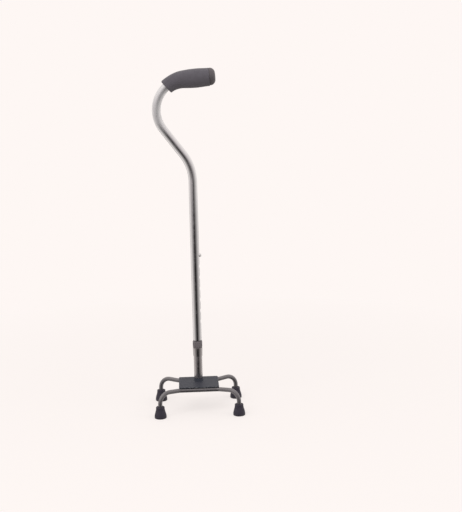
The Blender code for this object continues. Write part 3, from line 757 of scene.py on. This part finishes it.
def tube_mesh(route, radius, wall, holes):
    """A tube round its route, with round holes drilled straight through its +X side.

    The grids' points that lie round a hole go to its edge.
    """
    turn = FULL_TURN / TUBE_SIDES
    reach = round(asin(BUTTON_HOLE_RADIUS / (radius - wall)) / turn)
    rows = tube_rows(route, holes, turn * radius, reach)
    shape = bmesh.new()
    outside = tube_face(shape, route, rows, radius, reach)
    inside = tube_face(shape, route, rows, radius - wall, reach)
    inner = {}
    for outer_ring, inner_ring in zip(outside, inside):
        inner.update(zip(outer_ring, inner_ring))
    rims = [edge for edge in shape.edges if edge.is_boundary and edge.verts[0] in inner]
    for edge in rims:
        first, second = edge.verts
        shape.faces.new([first, second, inner[second], inner[first]])
    loose = [point for point in shape.verts if not point.link_faces]
    bmesh.ops.delete(shape, geom=loose, context="VERTS")
    return mesh_from(shape)


def round_rims(piece, width):
    rims = piece.modifiers.new("rims", "BEVEL")
    rims.width = width
    rims.segments = 2
    rims.angle_limit = RIM_ANGLE
    rims.harden_normals = True


def handle_route():
    """Up the shaft, back along the neck, round the bend and along the grip's axis."""
    lean = tan(NECK_LEAN)
    climb = tan(GRIP_TILT)
    crossing = (NECK_CORNER_RISE - GRIP_LINE_RISE) * lean / (1 + climb * lean)
    corners = [
        (0, 0, 0),
        (0, 0, NECK_CORNER_RISE),
        (crossing, 0, GRIP_LINE_RISE + crossing * climb),
        (HANDLE_END, 0, GRIP_LINE_RISE + HANDLE_END * climb),
    ]
    start = SHAFT + Z_AXIS * HANDLE_BOTTOM
    placed = [start + Vector(corner) for corner in corners]
    return Route(placed, [0, NECK_LOWER_RADIUS, NECK_UPPER_RADIUS, 0])


def make_handle_tube():
    rise = BUTTON_MIDDLE.z - HANDLE_BOTTOM
    holes = [rise - HOLE_PITCH * step for step in range(HEIGHT_STEPS + 1)]
    mesh = tube_mesh(handle_route(), HANDLE_RADIUS, HANDLE_WALL, holes)
    tube = add_piece("chrome_tube", mesh, chrome, "handle", "chrome", "handle_tube")
    round_rims(tube, HANDLE_RIM_ROUNDING)


def make_inner_tube():
    low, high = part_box("inner_tube")
    route = Route([SHAFT + Z_AXIS * low.z, SHAFT + Z_AXIS * high.z], [0, 0])
    mesh = tube_mesh(route, INNER_RADIUS, INNER_WALL, [BUTTON_MIDDLE.z - low.z])
    tube = add_piece("lower_tube", mesh, bare_steel, "shaft", "bare_steel", "inner_tube")
    round_rims(tube, FINE_ROUNDING)


# Grip


def eased(start, end, share):
    """Goes from start to end with a level beginning and end."""
    return start + (end - start) * share * share * (3 - 2 * share)


def grip_radius(distance):
    if distance < GRIP_SWELL_LENGTH:
        return eased(GRIP_NECK_RADIUS, GRIP_PALM_RADIUS, distance / GRIP_SWELL_LENGTH)
    share = (distance - GRIP_SWELL_LENGTH) / (GRIP_LENGTH - GRIP_SWELL_LENGTH)
    return eased(GRIP_PALM_RADIUS, GRIP_END_RADIUS, share)


def make_foam_grip():
    """A sleeve of foam, rolled over at its ends, fuller below and a little uneven all over."""
    bore = HANDLE_RADIUS + FIT_GAP
    swell = [GRIP_LENGTH * step / GRIP_STEPS for step in range(2, GRIP_STEPS - 1)]
    outside = [(distance, grip_radius(distance)) for distance in (0.0, *swell, GRIP_LENGTH)]
    inside = [(distance, bore) for distance in (GRIP_LENGTH, *reversed(swell), 0.0)]
    smooth = [0.0] * len(swell)
    radii = [GRIP_EDGE_ROUNDING, *smooth, SEAM_ROUNDING]
    radii += [GRIP_BORE_ROUNDING, *smooth, GRIP_BORE_ROUNDING]
    profile = rounded(outside + inside, radii, CORNER_STEP, closed=True)
    route = handle_route()
    start = route.length - GRIP_LENGTH
    stations = [(start + distance, radius) for distance, radius in profile]
    rings = swept_rings(route, stations, TURN_STEPS)
    for ring, (distance, radius) in zip(rings, stations):
        centre = route.at(distance)[0]
        give = max(0.0, min(1.0, (radius - bore) / GRIP_EDGE_ROUNDING))
        for index, point in enumerate(ring):
            outward = (point - centre).normalized()
            lump = (noise.noise(point / GRIP_LUMP_SIZE) - 1.0) * GRIP_LUMP_HEIGHT
            fullness = (0.5 - 0.5 * outward.z) * GRIP_UNDERSIDE
            ring[index] = point + outward * (lump + fullness) * give
    sleeve = add_piece("foam_sleeve", skin(rings, loop=True), foam, "handle", "foam", "foam_grip")


def make_end_cap():
    """The plug in the tube's free end, with a domed head as wide as the foam."""
    corners = [
        (0.0, CAP_TOP),
        (CAP_CROWN_RADIUS, CAP_CROWN_HEIGHT),
        (CAP_RADIUS, CAP_SIDE_HEIGHT),
        (CAP_RADIUS, REST_GAP),
        (LINER_RADIUS, REST_GAP),
        (LINER_RADIUS, -CAP_SPIGOT_LENGTH),
        (0.0, -CAP_SPIGOT_LENGTH),
    ]
    radii = [0, CAP_CROWN_ROUNDING, CAP_EDGE_RADIUS, SEAM_ROUNDING, 0, CAP_SPIGOT_ROUNDING, 0]
    route = handle_route()
    end, run = route.at(route.length)
    place = Matrix.Translation(end) @ run.to_track_quat("Z", "Y").to_matrix().to_4x4()
    mesh = turned(rounded(corners, radii, CAP_CORNER_STEP), place)
    add_piece("end_plug", mesh, cap_plastic, "handle", "cap_plastic", "grip_end_cap")


# Collar and button


def make_liner():
    """The bush in the handle tube's lower end, with a flange under the tube."""
    bore = LINER_RADIUS - LINER_WALL
    top = HANDLE_BOTTOM + LINER_LENGTH
    flange_top = HANDLE_BOTTOM - REST_GAP
    corners = [
        (LINER_RADIUS, top),
        (LINER_RADIUS, flange_top),
        (HANDLE_RADIUS, flange_top),
        (HANDLE_RADIUS, flange_top - LINER_FLANGE),
        (bore, flange_top - LINER_FLANGE),
        (bore, top),
    ]
    mesh = turned_loop(corners, [FINE_ROUNDING, 0, *[FINE_ROUNDING] * 4])
    add_piece("guide_bush", mesh, nylon, "handle", "nylon", "tube_liner")


def flute_reach(angle):
    """The radius of the ring's side at this angle, less where a flute is cut in it."""
    pitch = FULL_TURN / RING_FLUTES
    off = (angle + pitch / 2) % pitch - pitch / 2
    distance = RING_RADIUS + RING_FLUTE_RADIUS - RING_FLUTE_DEPTH
    across = distance * sin(off)
    if abs(across) >= RING_FLUTE_RADIUS:
        return RING_RADIUS
    flute = distance * cos(off) - sqrt(RING_FLUTE_RADIUS**2 - across**2)
    return min(RING_RADIUS, flute)


def make_lock_ring():
    """A fluted nut over the collet, with a cone inside that closes the fingers."""
    lip_bore = COLLET_BORE + RUNNING_GAP
    rim = RING_RADIUS - RING_TAPER_DEPTH
    corners = [
        (RING_BORE + RING_BORE_CHAMFER, RING_BOTTOM),
        (rim, RING_BOTTOM),
        (RING_RADIUS, RING_BOTTOM + RING_TAPER_HEIGHT),
        (RING_RADIUS, RING_TOP - RING_TAPER_HEIGHT),
        (rim, RING_TOP),
        (lip_bore + RING_LIP_CHAMFER, RING_TOP),
    ]
    radii = [0, FINE_ROUNDING, RING_TAPER_ROUNDING, RING_TAPER_ROUNDING, RING_EDGE_ROUNDING, 0]
    side = rounded(corners, radii, RING_CORNER_STEP)
    inside = [
        (lip_bore, RING_TOP - RING_LIP_CHAMFER),
        (lip_bore, RING_TOP - RING_LIP),
        (RING_BORE - COLLET_CONE_DEPTH, RING_TOP - RING_LIP),
        (RING_BORE, COLLET_TOP - COLLET_CONE_HEIGHT),
        (RING_BORE, RING_BOTTOM + RING_BORE_CHAMFER),
    ]
    steps = RING_FLUTES * FLUTE_STEPS
    mesh = turned([*side, *inside], steps=steps, loop=True, limit=flute_reach)
    add_piece("fluted_ring", mesh, ring_plastic, "lock_ring", "ring_plastic", "lock_ring")


def slot_cutter(bottom, top):
    """Two crossed blades that split the collet into four fingers."""
    shape = bmesh.new()
    for number in range(2):
        blade = bmesh.ops.create_cube(shape, size=1.0)["verts"]
        size = (4 * INNER_RADIUS, COLLET_SLOT_WIDTH, top - bottom)
        bmesh.ops.scale(shape, vec=size, verts=blade)
        turn = Matrix.Rotation(QUARTER_TURN * (number + 0.5), 3, "Z")
        bmesh.ops.rotate(shape, matrix=turn, verts=blade)
        bmesh.ops.translate(shape, vec=SHAFT + Z_AXIS * (bottom + top) / 2, verts=blade)
    return mesh_from(shape)


def make_collet():
    """The bush over the stem's top, with a skirt below the ring and fingers inside it."""
    stem_fit = STEM_RADIUS + FIT_GAP
    shoulder = stem_fit + COLLET_SHOULDER_WALL
    finger = COLLET_BORE + COLLET_FINGER_WALL
    corners = [
        (finger - COLLET_CONE_DEPTH, COLLET_TOP),
        (finger, COLLET_TOP - COLLET_CONE_HEIGHT),
        (finger, RING_BOTTOM - REST_GAP),
        (shoulder, RING_BOTTOM - REST_GAP),
        (shoulder, STEM_TOP - COLLET_SHOULDER_WALL),
        (stem_fit + COLLET_SKIRT_WALL, STEM_TOP - COLLET_SKIRT_LENGTH),
        (stem_fit, STEM_TOP - COLLET_SKIRT_LENGTH),
        (stem_fit, STEM_TOP + REST_GAP),
        (COLLET_BORE, STEM_TOP + REST_GAP),
        (COLLET_BORE, COLLET_TOP),
    ]
    outer_radii = [SMALL_ROUNDING, COLLET_SHOULDER_ROUNDING, FINE_ROUNDING, HAIR_ROUNDING]
    mesh = turned_loop(corners, [0, 0, 0, *outer_radii, 0, 0, 0])
    mesh = carved(mesh, slot_cutter(RING_BOTTOM + COLLET_SHOULDER_WALL, COLLET_TOP + REST_GAP))
    add_piece("split_collet", mesh, plating, "base", "plating", "collet_bush")


def make_button():
    """A domed pin with a rivet tail that holds it to its spring."""
    shoulder = SPRING_FACE + REST_GAP
    rivet_face = SPRING_FACE - SPRING_THICKNESS - REST_GAP
    rivet_end = rivet_face - RIVET_HEAD_THICKNESS
    dome_base = BUTTON_TIP - BUTTON_DOME_HEIGHT
    profile = []
    for step in range(DOME_STEPS + 1):
        angle = QUARTER_TURN * step / DOME_STEPS
        height = dome_base + BUTTON_DOME_HEIGHT * cos(angle)
        profile.append((BUTTON_RADIUS * sin(angle), height))
    profile += [
        (BUTTON_RADIUS, shoulder),
        (RIVET_RADIUS, shoulder),
        (RIVET_RADIUS, rivet_face),
        (RIVET_HEAD_RADIUS, rivet_face),
        (RIVET_HEAD_RADIUS, rivet_end),
        (0.0, rivet_end),
    ]
    mesh = turned(profile, BUTTON_PLACE, BUTTON_STEPS)
    add_piece("dome_button", mesh, button_steel, "button", "bare_steel", "snap_button")


def make_spring():
    """A bent strip in the tube, riveted to the button."""
    leg = SPRING_FACE - SPRING_THICKNESS / 2
    corners = [
        (leg, 0, SPRING_LEG_TOP),
        (leg, 0, -SPRING_KNEE_DROP),
        (0, 0, -SPRING_LENGTH),
        (-leg, 0, -SPRING_KNEE_DROP),
        (-leg, 0, 0),
    ]
    placed = [BUTTON_MIDDLE + Vector(corner) for corner in corners]
    route = Route(placed, [0, SPRING_KNEE_RADIUS, SPRING_BEND_RADIUS, SPRING_KNEE_RADIUS, 0])
    section = rectangle(SPRING_WIDTH, SPRING_THICKNESS, SPRING_THICKNESS / 4, STRIP_CORNER_STEP)
    rings = []
    for distance in route.lengths:
        centre, run = route.at(distance)
        outward = Y_AXIS.cross(run)
        rings.append([centre + Y_AXIS * point.x + outward * point.y for point in section])
    mesh = skin([[route.points[0]], *rings, [route.points[-1]]])
    hole = RIVET_RADIUS + FIT_GAP
    bore = [(0.0, INNER_RADIUS), (hole, INNER_RADIUS), (hole, 0.0), (0.0, 0.0)]
    mesh = carved(mesh, turned(bore, BUTTON_PLACE, BUTTON_STEPS))
    spring = add_piece("bent_spring", mesh, bare_steel, "shaft", "bare_steel", "button_spring")
    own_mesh(spring)


# Stem and plate


def weld_ripple(angle):
    """The small waves that a weld's run leaves in its surface."""
    wander = noise.noise(polar(angle, WELD_WANDER))
    return WELD_RIPPLE_HEIGHT * (sin(WELD_RIPPLES * angle + 2 * wander) + wander)


def make_stem_weld():
    """The weld run round the stem's foot, under the plate's finish."""
    bottom = PLATE_TOP + REST_GAP
    profile = [(STEM_RADIUS, bottom, 0.0)]
    for step in range(WELD_STEPS + 1):
        angle = QUARTER_TURN * step / WELD_STEPS
        radius = STEM_RADIUS + WELD_WIDTH * (1 - sin(angle))
        height = bottom + WELD_HEIGHT * (1 - cos(angle))
        profile.append((radius, height, sin(2 * angle)))
    steps = WELD_RIPPLES * RIPPLE_STEPS
    mesh = turned(profile, steps=steps, loop=True, change=weld_ripple)
    add_piece("stem_weld", mesh, plate_paint, "base", "base_paint")


def make_stem():
    bore = STEM_RADIUS - STEM_WALL
    corners = [
        (bore, STEM_BOTTOM),
        (bore, STEM_TOP),
        (STEM_RADIUS, STEM_TOP),
        (STEM_RADIUS, STEM_BOTTOM),
    ]
    mesh = turned_loop(corners, [0, EASY_ROUNDING, EASY_ROUNDING, 0])
    add_piece("plated_stem", mesh, plating, "base", "plating", "stem_tube")


def make_thrust_plug():
    """The plug in the stem's foot, with a seat and a spigot for the inner tube."""
    body = STEM_RADIUS - STEM_WALL - FIT_GAP
    spigot = INNER_RADIUS - INNER_WALL - FIT_GAP
    bore = spigot - PLUG_SPIGOT_WALL
    seat = STEM_BOTTOM + PLUG_SEAT_HEIGHT
    flange_top = STEM_BOTTOM - REST_GAP
    bottom = flange_top - PLUG_FLANGE_THICKNESS
    corners = [
        (spigot, seat + PLUG_SPIGOT_LENGTH),
        (spigot, seat),
        (body, seat),
        (body, flange_top),
        (STEM_RADIUS, flange_top),
        (STEM_RADIUS, bottom),
        (bore, bottom),
        (bore, seat + PLUG_SPIGOT_LENGTH),
    ]
    radii = [EASY_ROUNDING, 0, SMALL_ROUNDING, 0, SMALL_ROUNDING]
    radii += [PLUG_FOOT_ROUNDING, EASY_ROUNDING, SMALL_ROUNDING]
    mesh = turned_loop(corners, radii)
    add_piece("stem_plug", mesh, nylon, "base", "nylon", "thrust_plug")


def make_plate():
    """A flat pressing with softened edges and a hole for the stem."""
    outline = rectangle(PLATE_SIZE.x, PLATE_SIZE.y, PLATE_CORNER_RADIUS, PLATE_CORNER_STEP)
    hole_radius = STEM_RADIUS + FIT_GAP
    hole = [SHAFT + polar(-angle, hole_radius) for angle in spread(TURN_STEPS)]
    curve = bpy.data.curves.new("plate_outline", "CURVE")
    curve.fill_mode = "BOTH"
    curve.extrude = (PLATE_TOP - PLATE_BOTTOM) / 2 - PLATE_EDGE_ROUNDING
    curve.bevel_depth = PLATE_EDGE_ROUNDING
    curve.bevel_resolution = 3
    curve.offset = -PLATE_EDGE_ROUNDING
    for points in (outline, hole):
        spline = curve.splines.new("POLY")
        spline.points.add(len(points) - 1)
        spline.use_cyclic_u = True
        for knot, point in zip(spline.points, points):
            knot.co = (point.x, point.y, 0.0, 1.0)
    mesh = evaluated_mesh(new_object("plate_outline", curve))
    bpy.data.curves.remove(curve)  # and its object with it
    shape = bmesh.new()
    shape.from_mesh(mesh)
    bmesh.ops.remove_doubles(shape, verts=shape.verts, dist=SAME_PLACE)
    bmesh.ops.translate(shape, vec=Z_AXIS * (PLATE_TOP + PLATE_BOTTOM) / 2, verts=shape.verts)
    mesh = mesh_from(shape)
    plate = add_piece("painted_plate", mesh, plate_paint, "base", "base_paint", "base_plate")
    flat_faces = plate.modifiers.new("flat_faces", "WEIGHTED_NORMAL")
    flat_faces.keep_sharp = True


# Rods and feet


def bow_route(row):
    """Up from the left foot, across under the plate and down to the right foot."""
    left = floor_point(f"foot_tip_{row}_left")
    right = floor_point(f"foot_tip_{row}_right")
    plate_y = copysign(BOW_SPACING / 2, left.y)
    knee = Z_AXIS * (BOW_HEIGHT + BOW_ARM_RISE)
    end = Z_AXIS * ROD_END_HEIGHT
    corners = [
        left + end,
        left + knee,
        (-BOW_SPLAY_START, plate_y, BOW_HEIGHT),
        (BOW_SPLAY_START, plate_y, BOW_HEIGHT),
        right + knee,
        right + end,
    ]
    half_radii = [0, BOW_KNEE_RADIUS, BOW_SPLAY_RADIUS]
    return Route(corners, [*half_radii, *reversed(half_radii)])


def make_bow(row):
    route = bow_route(row)
    rings = swept_rings(route, [(distance, ROD_RADIUS) for distance in route.lengths], ROD_SIDES)
    mesh = skin([[route.points[0]], *rings, [route.points[-1]]])
    add_piece(f"{row}_rod", mesh, rod_finish, "base", "rod_finish", f"{row}_bow")


def rod_weld_ring(share, side_x, side_y):
    """The ring of points at this share of a weld's length. The plate keeps it flat on top."""
    along = PLATE_SIZE.x / 2 - ROD_WELD_INSET - ROD_WELD_LENGTH * share
    height = sqrt(max(0.0, 1 - (2 * share - 1) ** ROD_WELD_BLUNTNESS))
    ripple = WELD_RIPPLE_HEIGHT * sin(ROD_WELD_RIPPLING * share)
    reach = max((ROD_WELD_RADIUS + ripple) * height, ROD_WELD_LEAST)
    centre_y = BOW_SPACING / 2 - ROD_WELD_ACROSS
    centre = Vector((side_x * along, side_y * centre_y, PLATE_BOTTOM - ROD_WELD_DROP))
    ring = []
    for angle in spread(ROD_WELD_SIDES):
        off = Vector((0, cos(angle), sin(angle))) * reach
        off.z = min(off.z, PLATE_BOTTOM - centre.z)
        ring.append(centre + off)
    return ring


def make_rod_welds():
    """Short weld runs under the plate, in the corners between it and the two rods."""
    shape = bmesh.new()
    shares = [step / ROD_WELD_STEPS for step in range(ROD_WELD_STEPS + 1)]
    for side_x in (-1, 1):
        for side_y in (-1, 1):
            rings = [rod_weld_ring(share, side_x, side_y) for share in shares]
            rows = lay_skin(shape, rings)
            shape.faces.new(rows[0])
            shape.faces.new(rows[-1])
    add_piece("rod_welds", mesh_from(shape), rod_finish, "base", "rod_finish")


def foot_ribs(outside):
    """The profile of the tread's ribs, from its rim inwards."""
    ribs = []
    middle = outside - FOOT_RIB_SPACING
    while middle > FOOT_RIB_WIDTH:
        ribs += [
            (middle + FOOT_RIB_WIDTH / 2, FOOT_TREAD_DEPTH),
            (middle + FOOT_RIB_CREST / 2, FOOT_RIB_LIFT),
            (middle - FOOT_RIB_CREST / 2, FOOT_RIB_LIFT),
            (middle - FOOT_RIB_WIDTH / 2, FOOT_TREAD_DEPTH),
        ]
        middle -= FOOT_RIB_SPACING
    return ribs


def make_foot(row, hand):
    """A bell-shaped tip with a rim round its mouth and ribs in its tread."""
    socket = ROD_RADIUS + FIT_GAP
    pocket = WASHER_RADIUS + REST_GAP
    pocket_top = FOOT_SOLE + WASHER_THICKNESS + REST_GAP
    tread = FOOT_SKIRT_RADIUS - FOOT_EDGE_ROUNDING - FOOT_TREAD_WIDTH
    collar = Vector((FOOT_TOP_RADIUS, FOOT_HEIGHT - FOOT_COLLAR_HEIGHT))
    skirt = Vector((FOOT_SKIRT_RADIUS, FOOT_SKIRT_HEIGHT))
    flare_top = (FOOT_TOP_RADIUS, FOOT_FLARE_TOP)
    flare_bottom = (FOOT_SKIRT_RADIUS, FOOT_FLARE_BOTTOM)
    mouth = rounded(
        [(socket, pocket_top), (socket, FOOT_HEIGHT), (FOOT_TOP_RADIUS, FOOT_HEIGHT), collar],
        [0, FOOT_MOUTH_ROUNDING, FOOT_EDGE_ROUNDING, 0],
        CORNER_STEP,
    )
    bell = interpolate_bezier(collar, flare_top, flare_bottom, skirt, BELL_STEPS + 1)[1:-1]
    edge = rounded(
        [skirt, (skirt.x, 0.0), (tread, 0.0), (tread - FOOT_TREAD_DRAFT, FOOT_TREAD_DEPTH)],
        [0, FOOT_EDGE_ROUNDING, SMALL_ROUNDING, 0],
        CORNER_STEP,
    )
    profile = [(0.0, FOOT_SOLE), (pocket, FOOT_SOLE), (pocket, pocket_top)]
    profile += [*mouth, *bell, *edge, *foot_ribs(tread), (0.0, FOOT_TREAD_DEPTH)]
    node = f"foot_tip_{row}_{hand}"
    mesh = turned(profile, Matrix.Translation(floor_point(node)), FOOT_STEPS)
    add_piece(f"rubber_tip_{row}_{hand}", mesh, rubber, "base", "rubber", node)


# Studio


def make_floor():
    """A wide pale floor that fades into the backdrop's colour away from the cane."""
    surface = Surface("floor")
    ray = surface.node("ShaderNodeLightPath").outputs["Is Camera Ray"]
    seen = surface.mixed(ray, FLOOR_BOUNCE_COLOUR, FLOOR_COLOUR)
    diffuse = surface.node("ShaderNodeBsdfDiffuse", Color=seen)
    glow = surface.node("ShaderNodeEmission", Color=(*BACKDROP_COLOUR, 1))
    distance = surface.node("ShaderNodeVectorMath", Vector=surface.place)
    distance.operation = "LENGTH"
    away = surface.mapped(distance.outputs["Value"], FLOOR_FADE, (FLOOR_GLOW, 1.0))
    mix = surface.node("ShaderNodeMixShader")
    surface.feed(mix.inputs[0], surface.math("MULTIPLY", away, ray))
    surface.feed(mix.inputs[1], diffuse.outputs[0])
    surface.feed(mix.inputs[2], glow.outputs[0])
    surface.put(surface.tree.nodes["Material Output"], Surface=mix.outputs[0])
    surface.tree.nodes.remove(surface.shader)
    mesh = turned([(radius, 0.0) for radius in FLOOR_RADII], Matrix())
    mesh.materials.append(surface.material)
    floor = new_object("floor", mesh)
    floor.visible_glossy = False


def room_grey(value):
    return tuple(value * tint for tint in ROOM_TINT)


def make_world():
    """A pale studio. Gloss shows it darker in front, and dark low down in front and behind."""
    world = bpy.data.worlds.new("studio")
    bpy.context.scene.world = world
    world.use_nodes = True
    world.node_tree.nodes.clear()
    room = Nodes(world.node_tree)
    way = room.node("ShaderNodeTexCoord").outputs["Generated"]
    x, y, z = room.node("ShaderNodeSeparateXYZ", Vector=way).outputs
    level = room.math("ADD", room.math("MULTIPLY", x, x), room.math("MULTIPLY", y, y))
    level = room.math("SQRT", level)
    frontal = room.math("DIVIDE", room.math("MULTIPLY", y, -1.0), level)
    angle = room.math("DEGREES", room.math("ARCCOSINE", frontal))
    side = room.mapped(room.math("DIVIDE", x, level), ROOM_MIDDLE, smooth=True)
    pale = BACKDROP_COLOUR
    dark = room_grey(ROOM_DARK)

    rise = room.mapped(z, ROOM_RIGHT_RISE)
    front_right = room.mixed(rise, room_grey(ROOM_RIGHT_LOW), room_grey(ROOM_RIGHT_HIGH))
    right = room.mixed(room.mapped(angle, ROOM_RIGHT_SIDES), front_right, pale)
    front_left = room.mixed(room.mapped(z, ROOM_LEFT_RISE), room_grey(ROOM_LEFT), pale)
    left = room.mixed(room.mapped(angle, ROOM_LEFT_SIDES, smooth=True), front_left, pale)
    upper = room.mixed(side, left, right)

    dark_left = room.mixed(room.mapped(angle, ROOM_DARK_LEFT), dark, pale)
    dark_right = room.mixed(room.mapped(angle, ROOM_DARK_RIGHT), dark, pale)
    lower = room.mixed(side, dark_left, dark_right)
    behind = room.mapped(angle, ROOM_BACK_SIDES, smooth=True)
    lower = room.mixed(behind, lower, room_grey(ROOM_BACK))

    below = room.mapped(z, ROOM_HORIZON, smooth=True)
    reflected = room.mixed(below, upper, lower)
    rays = room.node("ShaderNodeLightPath").outputs
    glossy = room.math("MAXIMUM", rays["Is Glossy Ray"], rays["Is Transmission Ray"])
    lit = room.mixed(glossy, ROOM_LIGHT, reflected)
    colour = room.mixed(rays["Is Camera Ray"], lit, pale)
    background = room.node("ShaderNodeBackground", Color=colour)
    room.node("ShaderNodeOutputWorld", Surface=background.outputs[0])


def add_softbox(name, place, power):
    light = bpy.data.lights.new(name, "AREA")
    light.size = SOFTBOX_SIZE
    light.energy = power
    lamp = new_object(name, light)
    lamp.location = place
    lamp.rotation_euler = (SOFTBOX_TARGET - place).to_track_quat("-Z", "Y").to_euler()
    lamp.visible_glossy = False


def make_camera():
    yaw = Matrix.Rotation(-CAMERA_YAW, 4, "Z")
    pitch = Matrix.Rotation(QUARTER_TURN - CAMERA_PITCH, 4, "X")
    roll = Matrix.Rotation(CAMERA_ROLL, 4, "Z")
    data = bpy.data.cameras.new("camera")
    data.lens = CAMERA_FOCAL * data.sensor_width
    camera = new_object("camera", data)
    camera.matrix_world = Matrix.Translation(CAMERA_PLACE) @ yaw @ pitch @ roll
    bpy.context.scene.camera = camera


chrome = make_chrome()
bare_steel = make_bare_steel()
button_steel = make_button_steel()
rod_finish = make_rod_finish()
plating = make_plating()
plate_paint = make_plate_paint()
ring_plastic = make_ring_plastic()
nylon = make_nylon()
rubber = make_rubber()
foam = make_foam()
cap_plastic = make_cap_plastic()

make_handle_tube()
make_inner_tube()
make_foam_grip()
make_end_cap()
make_liner()
make_lock_ring()
make_collet()
make_button()
make_spring()
make_stem()
make_stem_weld()
make_thrust_plug()
make_plate()
make_rod_welds()
for row in ("front", "rear"):
    make_bow(row)
    for hand in ("left", "right"):
        make_foot(row, hand)
        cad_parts[f"tip_washer_{row}_{hand}"].data.materials[0] = bare_steel
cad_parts["top_guide"].data.materials[0] = nylon

make_floor()
make_world()
add_softbox("key", KEY_PLACE, KEY_POWER)
add_softbox("fill", FILL_PLACE, FILL_POWER)
make_camera()
bpy.context.scene.view_settings.view_transform = "Standard"
